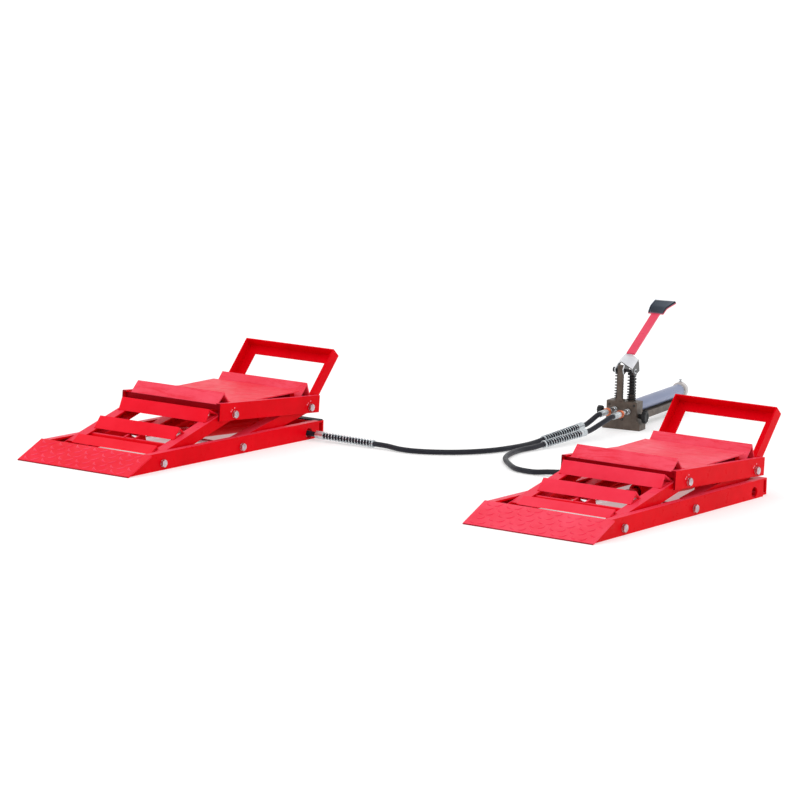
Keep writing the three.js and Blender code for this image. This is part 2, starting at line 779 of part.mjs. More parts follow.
function lift({ side, x, y, climbDegrees, rearDegrees, dipDegrees, portSide }) {
  const name = (part) => `${side}_${part}`;
  const group = new THREE.Group();
  group.position.set(x, y, 0);
  group.add(named(name('base_frame'), baseFrame(), redPaint));
  group.add(named(name('ramp_plate'), rampPlate(), redPaint));
  const baseBolts = { base_front_bolt: baseFrontY, base_mid_bolt: baseMidY };
  for (const [part, along] of Object.entries(baseBolts)) {
    placed(group, along, basePivotZ, 0, named(name(part), throughBolt(railHalfWidth), zinc));
  }

  const climb = radians(climbDegrees);
  const slats = slatNames.map((part, i) => named(name(part), slat(i), redPaint));
  const arm = named(name('climb_arm'), climbArm(), redPaint);
  placed(group, baseFrontY, basePivotZ, climb, arm, ...slats);
  placed(group, baseMidY, basePivotZ, radians(rearDegrees), named(name('rear_arm'), rearArm(), redPaint));

  const rodPinY = baseFrontY + ramSeat * Math.cos(climb);
  const rodPinZ = basePivotZ + ramSeat * Math.sin(climb);
  const ramSlope = Math.atan2(ramPinZ - rodPinZ, ramPinY - rodPinY);
  placed(group, ramPinY, ramPinZ, ramSlope, named(name('ram_cylinder'), ramCylinder(portSide), redPaint));
  placed(group, rodPinY, rodPinZ, ramSlope, named(name('ram_rod'), ramRod(), steel));

  const topY = baseFrontY + armLength * Math.cos(climb);
  const topZ = basePivotZ + armLength * Math.sin(climb);
  const platform = placed(
    group, topY, topZ, -radians(dipDegrees),
    named(name('platform_frame'), platformFrame(), redPaint),
    named(name('wheel_cradle'), wheelCradle(), redPaint),
    named(name('front_chock'), chock(frontChock), redPaint),
    named(name('rear_chock'), chock(rearChock), redPaint),
    named(name('handle'), handle(), redPaint),
    named(name('platform_front_bolt'), throughBolt(platformHalfWidth), zinc),
  );
  placed(platform, platformPivots, 0, 0, named(name('platform_rear_bolt'), throughBolt(platformHalfWidth), zinc));
  const port = new THREE.Vector3(portSide * (ramPortReach + gap), -ramPortAt, 0).applyAxisAngle(xAxis, ramSlope);
  port.add(new THREE.Vector3(x, y + ramPinY, ramPinZ));
  return { group, port };
}

// Pump

function pumpBlock() {
  const outline = [
    [-footHalfWidth, 0], [footHalfWidth, 0], [footHalfWidth, footHeight], [blockHalfWidth, flareHeight],
    [blockHalfWidth, blockHeight], [-blockHalfWidth, blockHeight],
    [-blockHalfWidth, flareHeight], [-footHalfWidth, footHeight],
  ];
  const glands = plungerAcross.map((x) =>
    barZ(glandRadius, [blockHeight - overrun, blockHeight + glandHeight], x, plungerBack, pinSides));
  const bores = plungerAcross.map((x) => {
    const depth = [blockHeight - plungerBore, blockHeight + glandHeight + overrun];
    return barZ(plungerRadius + pinClearance, depth, x, plungerBack, pinSides);
  });
  return cut(join(acrossY(outline, [0, blockDepth]), ...glands), ...bores);
}

function plunger(index) {
  const x = plungerAcross[index];
  return join(
    barZ(plungerRadius, [blockHeight - plungerDepth, springTop + plungerCapHeight / 2], x, plungerBack, pinSides),
    barZ(plungerCapRadius, [springTop, springTop + plungerCapHeight], x, plungerBack),
  );
}

function returnSpring(index) {
  const length = [blockHeight + gap, springTop - gap];
  const name = `${plungerNames[index]} return spring`;
  const wound = coil(name, springRadius, springWire, springCurls, length, springCrowding);
  return wound.translate(plungerAcross[index], plungerBack, 0);
}

function fulcrumLink() {
  const middle = linkFront + linkThickness / 2;
  const radius = linkThickness / 2;
  const foot = blockHeight + gap;
  const outline = [[linkFront, foot], [linkFront + linkThickness, foot]];
  for (let step = 0; step <= endSteps; step += 1) {
    const angle = (Math.PI * step) / endSteps;
    outline.push([middle + radius * Math.cos(angle), linkTop - radius + radius * Math.sin(angle)]);
  }
  const across = [linkAcross - linkWidth / 2, linkAcross + linkWidth / 2];
  const footAcross = [linkAcross - linkFootWidth / 2, linkAcross + linkFootWidth / 2];
  const body = join(
    acrossX(outline, across),
    box(footAcross, [0, linkFront + linkThickness], [foot, foot + linkFootHeight]),
  );
  const through = [across[0] - overrun, across[1] + overrun];
  return cut(body, barX(fulcrumRadius + pinClearance, through, middle, fulcrumZ, pinSides));
}

function fulcrumPin() {
  return join(
    barX(fulcrumRadius, [fulcrumLeft, fulcrumRight], 0, 0, pinSides),
    barX(fulcrumHeadRadius, [fulcrumLeft, fulcrumLeft + fulcrumHeadLength], 0, 0),
  );
}

// Head of the pedal: a bent plate on three ears, with a cross bar that presses on the plungers
function pedalHead() {
  const top = [[headLeft, headLeftTop], [headShoulder, headTop], [headRight, headTop]];
  const reach = [rightEarNear, earBack + earBackDrop];
  const plate = common(
    acrossY(sheet(top, headPlate), reach),
    acrossZ(headPlan, [headLeftTop - 2 * headPlate, headTop + headPlate]),
  );
  const leftEar = [
    [earNear, earBottom], [earArchNear, earArch], [earToeFar, earToe], [rightEarFar, headLeftTop],
    [headLeftNear, headLeftTop], [earNear, headLeftTop],
  ];
  const middleEar = [
    [earNear, earBottom], [earArchNear, earArch], [earToeFar, earToe], [earBack, headTop - earBackDrop],
    [earBack, headTop - headPlate / 2], [headLeftNear, headTop - headPlate / 2], [earNear, headLeftTop],
  ];
  const rightEar = [
    [earNear, earBottom], [earArchNear, earArch], [earToeFar, earToe],
    [rightEarFar, headTop - earBackDrop], [rightEarFar - headPlate, headTop - headPlate / 2],
    [rightEarNear, headTop - headPlate / 2], [rightEarNear, headTop - 2 * headPlate],
  ];
  const linkRight = linkAcross + linkWidth / 2 + earGap;
  const pressY = plungerBack - linkFront - linkThickness / 2;
  const pressZ = springTop + plungerCapHeight + gap + pressRadius - fulcrumZ;
  const slope = radians(leverDegrees);
  const press = new THREE.Vector3(0, pressY, pressZ).applyAxisAngle(xAxis, -slope);
  const body = join(
    plate,
    acrossX(leftEar, [headLeft, headLeft + headPlate]),
    acrossX(middleEar, [linkRight, linkRight + headPlate]),
    acrossX(rightEar, [headRight - headPlate, headRight]),
    barX(pressRadius, [headLeft + headPlate / 2, headRight - headPlate / 2], press.y, press.z, pinSides),
  );
  const through = [headLeft - overrun, headRight + overrun];
  return cut(body, barX(fulcrumRadius + pinClearance, through, 0, 0, pinSides));
}

// Outline of a layer over the pad's two slopes, seen from the side
function padLine(height) {
  const steep = radians(padSteepDegrees - leverDegrees);
  const flat = radians(padFlatDegrees - leverDegrees);
  const bendY = leverEnd + padSteepLength * Math.cos(steep);
  const bendZ = height + padSteepLength * Math.sin(steep);
  const endY = bendY + padFlatLength * Math.cos(flat);
  const endZ = bendZ + padFlatLength * Math.sin(flat);
  return [[leverEnd, height], [bendY, bendZ], [endY, endZ]];
}

function padLayer(height, thickness) {
  const line = padLine(height + thickness);
  const across = [leverAcross - padFarHalf, leverAcross + padFarHalf];
  const [near, , far] = line;
  const plan = [
    [leverAcross - padNearHalf, near[0]], [leverAcross + padNearHalf, near[0]],
    [leverAcross + padFarHalf, far[0]], [leverAcross - padFarHalf, far[0]],
  ];
  return common(acrossX(sheet(line, thickness), across), acrossZ(plan, [headTop - padFarHalf, headTop + padFarHalf]));
}

function pedalLever() {
  const across = [leverAcross - leverWidth / 2, leverAcross + leverWidth / 2];
  const seat = headTop + gap;
  return join(
    box(across, [leverStart, leverEnd + padPlate], [seat, seat + leverThickness]),
    padLayer(seat + leverThickness - padPlate, padPlate),
  );
}

function pedalPad() {
  return padLayer(headTop + leverThickness + 2 * gap, padRubber);
}

function tank() {
  return barY(tankRadius, [blockDepth + gap, tankEnd], tankAcross, tankZ);
}

function tankCap() {
  return barY(tankCapRadius, [tankEnd + gap, tankEnd + gap + tankCapLength], tankAcross, tankZ);
}

function breather() {
  const foot = tankZ + tankCapRadius + gap;
  return barZ(breatherRadius, [foot, foot + breatherHeight], tankAcross, tankEnd + tankCapLength / 2);
}

// Channel under the tank, on a foot at its far end
function tankBracket() {
  const length = [blockDepth + gap, bracketEnd];
  const left = tankAcross - bracketHalfWidth;
  const right = tankAcross + bracketHalfWidth;
  const foot = [bracketEnd - bracketFootDepth, bracketEnd];
  return join(
    box([left, right], length, [bracketTop - bracketWall, bracketTop]),
    box([left, left + bracketWall], length, [bracketBottom, bracketTop]),
    box([right - bracketWall, right], length, [bracketBottom, bracketTop]),
    box([left, right], [bracketEnd - bracketWall, bracketEnd], [0, bracketTop]),
    box([left, right], foot, [0, bracketWall]),
  );
}

function releaseKnob(index) {
  const side = index === 0 ? -1 : 1;
  const seat = blockHalfWidth + gap;
  const stemEnd = seat + knobStem[index];
  const z = knobZ[index];
  return join(
    barX(knobStemRadius[index], onSide(side, seat, stemEnd + overrun), 0, 0),
    barX(knobRadius[index], onSide(side, stemEnd, stemEnd + knobLength[index]), 0, 0),
  ).translate(0, knobY, z);
}

function coupler(index) {
  const x = couplerAcross[index];
  const z = couplerZ[index];
  const ringEnd = couplerStub + couplerRing;
  return join(
    barY(couplerStubRadius, [-ringEnd, -gap], x, z),
    barY(couplerRingRadius, [-ringEnd, -couplerStub], x, z),
    barY(ferruleRadius, [-ringEnd - ferruleLength, -ringEnd + overrun], x, z),
  );
}

function pump() {
  const group = new THREE.Group();
  group.position.set(pumpX, pumpY, 0);
  group.rotation.z = radians(pumpDegrees);
  group.add(named('pump_block', pumpBlock(), phosphate));
  group.add(named('pump_tank_bracket', tankBracket(), phosphate));
  group.add(named('pump_tank', tank(), tankGrey));
  group.add(named('pump_tank_cap', tankCap(), paleGrey));
  group.add(named('pump_breather', breather(), black));
  group.add(named('pump_fulcrum_link', fulcrumLink(), phosphate));
  knobNames.forEach((side, i) => group.add(named(`pump_${side}_release_knob`, releaseKnob(i), black)));
  plungerNames.forEach((side, i) => {
    group.add(named(`pump_${side}_plunger`, plunger(i), steel));
    group.add(named(`pump_${side}_return_spring`, returnSpring(i), black));
  });
  couplerNames.forEach((side, i) => group.add(named(`pump_${side}_coupler`, coupler(i), zinc)));
  const pinY = linkFront + linkThickness / 2;
  placed(group, pinY, fulcrumZ, 0, named('pump_fulcrum_pin', fulcrumPin(), black));
  placed(
    group, pinY, fulcrumZ, radians(leverDegrees),
    named('pump_pedal_head', pedalHead(), paleGrey),
    named('pump_pedal_lever', pedalLever(), redPaint),
    named('pump_pedal_pad', pedalPad(), black),
  );
  group.updateMatrixWorld(true);
  return group;
}

// Hoses

function hose(points) {
  const section = [];
  for (let side = 0; side < hoseSides; side += 1) {
    const angle = (fullTurn * side) / hoseSides;
    section.push(new THREE.Vector2(hoseRadius * Math.cos(angle), hoseRadius * Math.sin(angle)));
  }
  const extrudePath = new THREE.CatmullRomCurve3(points, false, 'centripetal');
  const options = { steps: hoseSteps, extrudePath, bevelEnabled: false };
  return new THREE.ExtrudeGeometry(new THREE.Shape(section), options);
}

function springGuard(name, ends, curls) {
  const [start, end] = ends.map((point) => new THREE.Vector3(...point));
  const length = start.distanceTo(end);
  const lead = 2 * guardWire;
  const wound = coil(name, guardRadius, guardWire, curls, [sleeveLength - lead, length - endRingLength + lead]);
  const bore = barZ(hoseRadius + guardClearance, [-overrun, length + overrun], 0, 0);
  const sleeve = cut(barZ(sleeveRadius, [0, sleeveLength], 0, 0), bore);
  const ring = cut(barZ(sleeveRadius, [length - endRingLength, length], 0, 0), bore);
  const mesh = named(name, join(sleeve, ring, wound), zinc);
  mesh.position.copy(start);
  mesh.quaternion.setFromUnitVectors(zAxis, end.clone().sub(start).normalize());
  return mesh;
}

function vectors(points) {
  return points.map((point) => new THREE.Vector3(...point));
}

// The route's first or last stretch, which leaves its fitting squarely
function squareLead(end, direction, length) {
  return [end, end.clone().addScaledVector(direction, length)];
}

const left = lift({
  side: 'left', x: -liftSpacing / 2, y: 0, portSide: 1,
  climbDegrees: leftClimbDegrees, rearDegrees: leftRearDegrees, dipDegrees: leftPlatformDegrees,
});
const right = lift({
  side: 'right', x: liftSpacing / 2, y: rightLiftSetBack, portSide: -1,
  climbDegrees: rightClimbDegrees, rearDegrees: rightRearDegrees, dipDegrees: rightPlatformDegrees,
});
const pumpGroup = pump();

function couplerEnd(index) {
  const reach = couplerStub + couplerRing + ferruleLength + gap;
  return new THREE.Vector3(couplerAcross[index], -reach, couplerZ[index]).applyMatrix4(pumpGroup.matrixWorld);
}

// The stretch through a guard, straight and a little longer than it
function guardRun(guard, startLead) {
  const [start, end] = vectors(guard);
  const direction = end.clone().sub(start).normalize();
  const before = start.clone().addScaledVector(direction, -startLead);
  return [before, start, end, end.clone().addScaledVector(direction, hoseLead)];
}

const towardsCoupler = yAxis.clone().negate().applyAxisAngle(zAxis, radians(pumpDegrees));
const leftRoute = [
  ...squareLead(left.port, xAxis, hoseLead),
  ...guardRun(leftLiftGuard, hoseLead),
  ...vectors(leftFloor),
  ...guardRun(backPumpGuard, guardLead).reverse(),
  ...squareLead(couplerEnd(0), towardsCoupler, couplerLead).reverse(),
];
const rightRoute = [
  ...squareLead(right.port, xAxis.clone().negate(), hoseLead),
  ...guardRun(rightLiftGuard, hoseLead),
  ...vectors(rightFloor),
  ...guardRun(frontPumpGuard, guardLead).reverse(),
  ...squareLead(couplerEnd(1), towardsCoupler, couplerLead).reverse(),
];

const fixed = new THREE.Group();
fixed.add(left.group, right.group, pumpGroup);
const cords = new THREE.Group();
cords.add(
  named('left_hose', hose(leftRoute), hoseBlack),
  named('right_hose', hose(rightRoute), hoseBlack),
  springGuard('left_lift_hose_guard', leftLiftGuard, liftGuardCurls),
  springGuard('right_lift_hose_guard', rightLiftGuard, liftGuardCurls),
  springGuard('back_pump_hose_guard', backPumpGuard, pumpGuardCurls),
  springGuard('front_pump_hose_guard', frontPumpGuard, pumpGuardCurls),
);

// The origin goes to the middle of the footprint of all but the hoses
const footprint = new THREE.Box3().setFromObject(fixed, true);
const middle = footprint.getCenter(new THREE.Vector3());
const model = new THREE.Group();
model.add(fixed, cords);
model.position.set(-middle.x, -middle.y, -footprint.min.z);

export default model;
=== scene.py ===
"""Looks for the hydraulic car lift: camera, hoses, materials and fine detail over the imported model."""

import math

import bmesh
import bpy
from mathutils import Matrix, Vector


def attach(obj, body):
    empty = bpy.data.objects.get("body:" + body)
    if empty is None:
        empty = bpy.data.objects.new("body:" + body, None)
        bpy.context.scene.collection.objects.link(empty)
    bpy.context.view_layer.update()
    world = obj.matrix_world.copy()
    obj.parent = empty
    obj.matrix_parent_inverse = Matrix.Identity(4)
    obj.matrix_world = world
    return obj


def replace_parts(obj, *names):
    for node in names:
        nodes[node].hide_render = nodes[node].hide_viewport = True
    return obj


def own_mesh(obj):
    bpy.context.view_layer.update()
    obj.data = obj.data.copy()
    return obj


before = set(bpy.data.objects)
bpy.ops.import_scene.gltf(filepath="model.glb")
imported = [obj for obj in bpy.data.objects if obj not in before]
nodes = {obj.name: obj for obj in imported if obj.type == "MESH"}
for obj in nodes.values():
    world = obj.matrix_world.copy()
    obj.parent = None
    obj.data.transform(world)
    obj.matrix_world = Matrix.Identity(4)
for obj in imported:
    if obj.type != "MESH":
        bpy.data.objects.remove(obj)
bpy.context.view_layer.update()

# Camera: the photograph's angle and distance
AZIMUTH = 34.676
ELEVATION = 9.218
ROLL = 1.651
DISTANCE = 10.715
TARGET = (-0.7133, 0.54966, 0.0)
LENS = 161.2
SENSOR = 36.0
CLIP = (0.1, 100.0)

# Lifts, in metres and degrees: the arm climbs and the platform dips towards its rear
ROW_Y = -1.001142  # of the left lift's ramp tip
LIFTS = {
    "left": {"x": -0.684, "y": ROW_Y, "climb": 15.8, "dip": 3.65},
    "right": {"x": 0.684, "y": ROW_Y + 0.092, "climb": 12.0, "dip": 2.95},
}
BASE_PIVOTS = {"front": 0.1555, "mid": 0.4995}
BASE_PIVOT_Z = 0.0184
BASE_HALF = 0.181  # of the width between the bolts' heads
ARM = 0.334
ARM_TOP = 0.0164
PLATFORM_PIVOTS = {"front": 0.0, "rear": 0.349}
PLATFORM_HALF = 0.170
PLATFORM_TOP = 0.0277
RAMP_RISE = 0.044
RAMP_RUN = 0.097
RAMP_WIDTH = 0.368
RAMP_SKIN = 0.003
SLAT_FEET = (  # from, length, half width
    (0.006, 0.0376, 0.135),
    (0.106, 0.0494, 0.137),
    (0.230, 0.0591, 0.151),
)

# Pump
PUMP = (0.046, ROW_Y + 1.573)
PUMP_YAW = 9.0
PEDAL_Y = 0.0045
PEDAL_Z = 0.172
LEVER_SLOPE = 27.5
BLOCK_SIDE = 0.0473
PLUNGER_Y = 0.025
PLUNGERS = {"left": -0.020, "right": 0.019}
TANK_X = 0.016
TANK_Z = 0.062
COUPLERS = {"back": (-0.0186, 0.058), "front": (0.022, 0.055)}
KNOB_Y = 0.020
KNOBS = {
    "left": {
        "sign": -1, "z": 0.049, "radius": 0.012, "length": 0.016,
        "stem": 0.018, "stem_radius": 0.004, "lobes": 8,
    },
    "right": {
        "sign": 1, "z": 0.040, "radius": 0.0195, "length": 0.012,
        "stem": 0.012, "stem_radius": 0.007, "lobes": 10,
    },
}

# Hoses
HOSE_RADIUS = 0.00725
HOSE_SIDES = 28
HOSE_RINGS = 460
LEFT_ROUTE = [
    (-0.64770, -0.23111, 0.02742), (-0.60770, -0.23111, 0.02742), (-0.51890, -0.19592, 0.01769),
    (-0.47900, -0.19334, 0.01670), (-0.29000, -0.18114, 0.01200), (-0.25010, -0.17857, 0.01101),
    (-0.20000, -0.18314, 0.00850), (-0.14600, -0.17214, 0.00800), (-0.06600, -0.11514, 0.00800),
    (-0.01200, -0.02714, 0.00800), (0.01000, 0.07386, 0.00800), (0.00896, 0.16932, 0.00751),
    (0.01300, 0.20886, 0.01200), (0.03100, 0.38486, 0.03200), (0.03302, 0.40463, 0.03425),
    (0.04817, 0.43926, 0.05800), (0.04582, 0.45408, 0.05800),
]
RIGHT_ROUTE = [
    (0.64770, -0.13913, 0.02699), (0.60770, -0.13913, 0.02699), (0.53510, -0.08794, 0.01830),
    (0.49900, -0.10514, 0.01720), (0.32900, -0.18614, 0.01200), (0.29290, -0.20334, 0.01090),
    (0.25800, -0.21514, 0.00800), (0.20200, -0.21114, 0.00800), (0.13200, -0.15114, 0.00800),
    (0.08500, -0.09214, 0.00800), (0.05800, -0.02714, 0.00800), (0.04600, 0.04086, 0.00800),
    (0.05297, 0.10217, 0.00903), (0.05700, 0.14186, 0.01200), (0.07600, 0.32886, 0.02600),
    (0.07802, 0.34870, 0.02749), (0.08827, 0.44562, 0.05500), (0.08592, 0.46043, 0.05500),
]
GUARDS = {  # the sleeve's end, the other end, the coil's curls
    "left_lift_hose_guard": (LEFT_ROUTE[3], LEFT_ROUTE[4], 17),
    "right_lift_hose_guard": (RIGHT_ROUTE[3], RIGHT_ROUTE[4], 15),
    "back_pump_hose_guard": (LEFT_ROUTE[13], LEFT_ROUTE[12], 15),
    "front_pump_hose_guard": (RIGHT_ROUTE[14], RIGHT_ROUTE[13], 15),
}
GUARD_BORE = HOSE_RADIUS + 0.0006
GUARD_RADIUS = 0.0095
GUARD_WIRE = 0.0012
SLEEVE_RADIUS = 0.011
SLEEVE_LENGTH = 0.026
SLEEVE_RIM = 0.0006
END_RING = 0.005
COIL_LAP = 0.002  # of the coil into the sleeve and the end ring

# Colours
RED = (0.80, 0.0006, 0.008)
DEEP_RED = (0.68, 0.0003, 0.005)
# pale pink that paint() mixes onto upward faces: a painted sheen
PAINTED_SHEEN_PINK = (0.86, 0.045, 0.090)
PAINT_GLEAM = (1.0, 0.03, 0.08, 1.0)
PHOSPHATE = (0.122, 0.096, 0.076)
DARK_PHOSPHATE = (0.066, 0.048, 0.038)
TANK_BLUE = (0.25, 0.29, 0.43)
DARK_TANK_BLUE = (0.19, 0.225, 0.35)
HOSE_BLACK = (0.010, 0.011, 0.018)
HOSE_DUST = (0.030, 0.032, 0.044)
ACROSS = (0.35, 2.4, 1)  # stretches marks along x
ALONG = (1, 0.3, 1)  # stretches marks along y
EVEN = (1, 1, 1)


# Camera

def make_camera():
    azimuth, elevation, roll = (math.radians(angle) for angle in (AZIMUTH, ELEVATION, ROLL))
    back = Vector((
        math.sin(azimuth) * math.cos(elevation),
        -math.cos(azimuth) * math.cos(elevation),
        math.sin(elevation),
    ))
    right = Vector((math.cos(azimuth), math.sin(azimuth), 0.0))
    up = back.cross(right)
    turned_right = right * math.cos(roll) + up * math.sin(roll)
    turned_up = up * math.cos(roll) - right * math.sin(roll)
    rotation = Matrix((turned_right, turned_up, back)).transposed().to_4x4()
    data = bpy.data.cameras.new("camera")
    data.lens = LENS
    data.sensor_width = SENSOR
    data.clip_start, data.clip_end = CLIP
    camera = bpy.data.objects.new("camera", data)
    camera.matrix_world = Matrix.Translation(Vector(TARGET) + back * DISTANCE) @ rotation
    bpy.context.scene.collection.objects.link(camera)
    bpy.context.scene.camera = camera


# Node materials

class Shader:
    """A material under construction, with short ways to add and link nodes."""

    def __init__(self, name):
        self.material = bpy.data.materials.new(name)
        self.material.use_nodes = True
        self.tree = self.material.node_tree
        self.principled = self.tree.nodes["Principled BSDF"]
        coordinates = self.tree.nodes.new("ShaderNodeTexCoord")
        self.place = coordinates.outputs["Object"]
        self.facing = coordinates.outputs["Normal"]

    def set(self, **values):
        for name, value in values.items():
            self.principled.inputs[name.replace("_", " ")].default_value = value

    def link(self, output, target):
        self.tree.links.new(output, target)

    def scaled(self, scale):
        node = self.tree.nodes.new("ShaderNodeMapping")
        node.inputs["Scale"].default_value = scale
        self.link(self.place, node.inputs["Vector"])
        return node.outputs["Vector"]

    def noise(self, scale, detail=4.0, roughness=0.6, stretch=EVEN, distortion=0.0):
        node = self.tree.nodes.new("ShaderNodeTexNoise")
        node.inputs["Scale"].default_value = scale
        node.inputs["Detail"].default_value = detail
        node.inputs["Roughness"].default_value = roughness
        node.inputs["Distortion"].default_value = distortion
        self.link(self.scaled(stretch), node.inputs["Vector"])
        return node.outputs["Fac"]

    def ranged(self, value, low, high, to_low=0.0, to_high=1.0):
        node = self.tree.nodes.new("ShaderNodeMapRange")
        for name, number in zip(("From Min", "From Max", "To Min", "To Max"), (low, high, to_low, to_high)):
            node.inputs[name].default_value = number
        self.link(value, node.inputs["Value"])
        return node.outputs["Result"]

    def maths(self, operation, first, second):
        node = self.tree.nodes.new("ShaderNodeMath")
        node.operation = operation
        for value, socket in zip((first, second), node.inputs):
            if isinstance(value, (int, float)):
                socket.default_value = value
            else:
                self.link(value, socket)
        return node.outputs["Value"]

    def mixed(self, share, first, second):
        node = self.tree.nodes.new("ShaderNodeMix")
        node.data_type = "RGBA"
        self.link(share, node.inputs["Factor"])
        colours = [socket for socket in node.inputs if socket.type == "RGBA"]
        for colour, socket in zip((first, second), colours):
            if isinstance(colour, tuple):
                socket.default_value = (*colour, 1.0)
            else:
                self.link(colour, socket)
        return next(socket for socket in node.outputs if socket.type == "RGBA")

    def upward(self, low, high):
        """How far a face looks up, from 0 to 1."""
        node = self.tree.nodes.new("ShaderNodeSeparateXYZ")
        self.link(self.facing, node.inputs[0])
        return self.ranged(node.outputs["Z"], low, high)

    def bump(self, height, distance, strength, under=None):
        node = self.tree.nodes.new("ShaderNodeBump")
        node.inputs["Distance"].default_value = distance
        node.inputs["Strength"].default_value = strength
        self.link(height, node.inputs["Height"])
        if under is not None:
            self.link(under, node.inputs["Normal"])
        return node.outputs["Normal"]

    def colour(self, output):
        self.link(output, self.principled.inputs["Base Color"])

    def roughness(self, output):
        self.link(output, self.principled.inputs["Roughness"])

    def normal(self, output):
        self.link(output, self.principled.inputs["Normal"])

    def patchy(self, scale, low, high, detail=4.0):
        """Roughness between low and high, in patches."""
        return self.ranged(self.noise(scale, detail), 0.3, 0.7, low, high)


def paint(name, base, dark, gloss=(0.24, 0.42), shine=0.16, worn=None, stretch=EVEN, top=None):
    """Gloss paint: cloudy colour, orange peel, dull scuffs, worn marks along one way, and paler tops, a pink
    painted on upward faces as a painted sheen.
    """
    shader = Shader(name)
    shader.set(Specular_IOR_Level=shine, Specular_Tint=PAINT_GLEAM)
    clouds = shader.ranged(shader.noise(9.0), 0.35, 0.7)
    scuffed = shader.noise(60.0, detail=8.0, roughness=0.72, stretch=(1, 0.25, 1), distortion=0.6)
    scuffs = shader.ranged(scuffed, 0.64, 0.8)
    tint = shader.mixed(clouds, base, dark)
    # Painted sheen: faces that look up are mixed towards the paler top colour.
    if top is not None:
        tint = shader.mixed(shader.upward(0.86, 0.98), tint, top)
    if worn is not None:
        rubbed = shader.noise(26.0, detail=9.0, roughness=0.78, stretch=stretch, distortion=0.8)
        tint = shader.mixed(shader.ranged(rubbed, 0.48, 0.7), tint, worn)
    dulled = shader.maths("MULTIPLY", scuffs, 0.05)
    shader.colour(shader.mixed(dulled, tint, tuple(value / 2 for value in dark)))
    shader.roughness(shader.maths("ADD", shader.patchy(35.0, *gloss), dulled))
    peel = shader.bump(shader.noise(420.0, detail=2.0), distance=0.00005, strength=0.6)
    shader.normal(shader.bump(shader.noise(5.0, detail=2.0), distance=0.002, strength=0.08, under=peel))
    return shader.material


def metal(name, base, dark, roughness, scale=60.0, metallic=1.0, depth=0.00004):
    """Bare or plated metal: a fine grain, with duller and darker patches."""
    shader = Shader(name)
    shader.set(Metallic=metallic)
    patches = shader.ranged(shader.noise(scale, detail=6.0, roughness=0.65), 0.38, 0.66)
    shader.colour(shader.mixed(patches, base, dark))
    shader.roughness(shader.patchy(2.4 * scale, *roughness, detail=5.0))
    shader.normal(shader.bump(shader.noise(14.0 * scale, detail=3.0), distance=depth, strength=0.5))
    return shader.material


def moulded(name, base, dusty, roughness, scale=240.0, depth=0.00012, shine=0.3):
    """Rubber or moulded plastic: a fine pebbled skin with pale dust in places."""
    shader = Shader(name)
    shader.set(Specular_IOR_Level=shine)
    dust = shader.ranged(shader.noise(22.0, detail=7.0, roughness=0.7), 0.5, 0.78)
    shader.colour(shader.mixed(dust, base, dusty))
    shader.roughness(shader.patchy(48.0, *roughness))
    shader.normal(shader.bump(shader.noise(scale), distance=depth, strength=0.7))
    return shader.material


def tank_look():
    """Smooth satin paint on drawn tube, a little cloudy along it."""
    shader = Shader("blue_grey_tank")
    shader.set(Metallic=0.35, Specular_IOR_Level=0.4)
    clouds = shader.ranged(shader.noise(7.0, detail=3.0, roughness=0.5, stretch=ALONG), 0.35, 0.68)
    shader.colour(shader.mixed(clouds, TANK_BLUE, DARK_TANK_BLUE))
    shader.roughness(shader.patchy(24.0, 0.26, 0.36))
    shader.normal(shader.bump(shader.noise(300.0, detail=2.0), distance=0.00001, strength=0.5))
    return shader.material


def block_look():
    """Phosphated steel of the pump's block."""
    shader = Shader("phosphated_block")
    shader.set(Metallic=0.3)
    patches = shader.ranged(shader.noise(32.0, detail=6.0, roughness=0.65), 0.38, 0.66)
    shader.colour(shader.mixed(patches, PHOSPHATE, DARK_PHOSPHATE))
    shader.roughness(shader.patchy(77.0, 0.38, 0.56, detail=5.0))
    shader.normal(shader.bump(shader.noise(450.0, detail=3.0), distance=0.0001, strength=0.5))
    return shader.material


def hose_look():
    """Rubber hose with a faint cloth imprint and a dusty sheen."""
    shader = Shader("hose_rubber")
    shader.set(Specular_IOR_Level=0.25)
    dust = shader.ranged(shader.noise(30.0, detail=6.0, roughness=0.7), 0.5, 0.85)
    shader.colour(shader.mixed(dust, HOSE_BLACK, HOSE_DUST))
    shader.roughness(shader.patchy(80.0, 0.36, 0.52))
    wrap = shader.noise(900.0, detail=2.0, roughness=0.5, distortion=0.3)
    shader.normal(shader.bump(wrap, distance=0.00015, strength=0.55))
    return shader.material


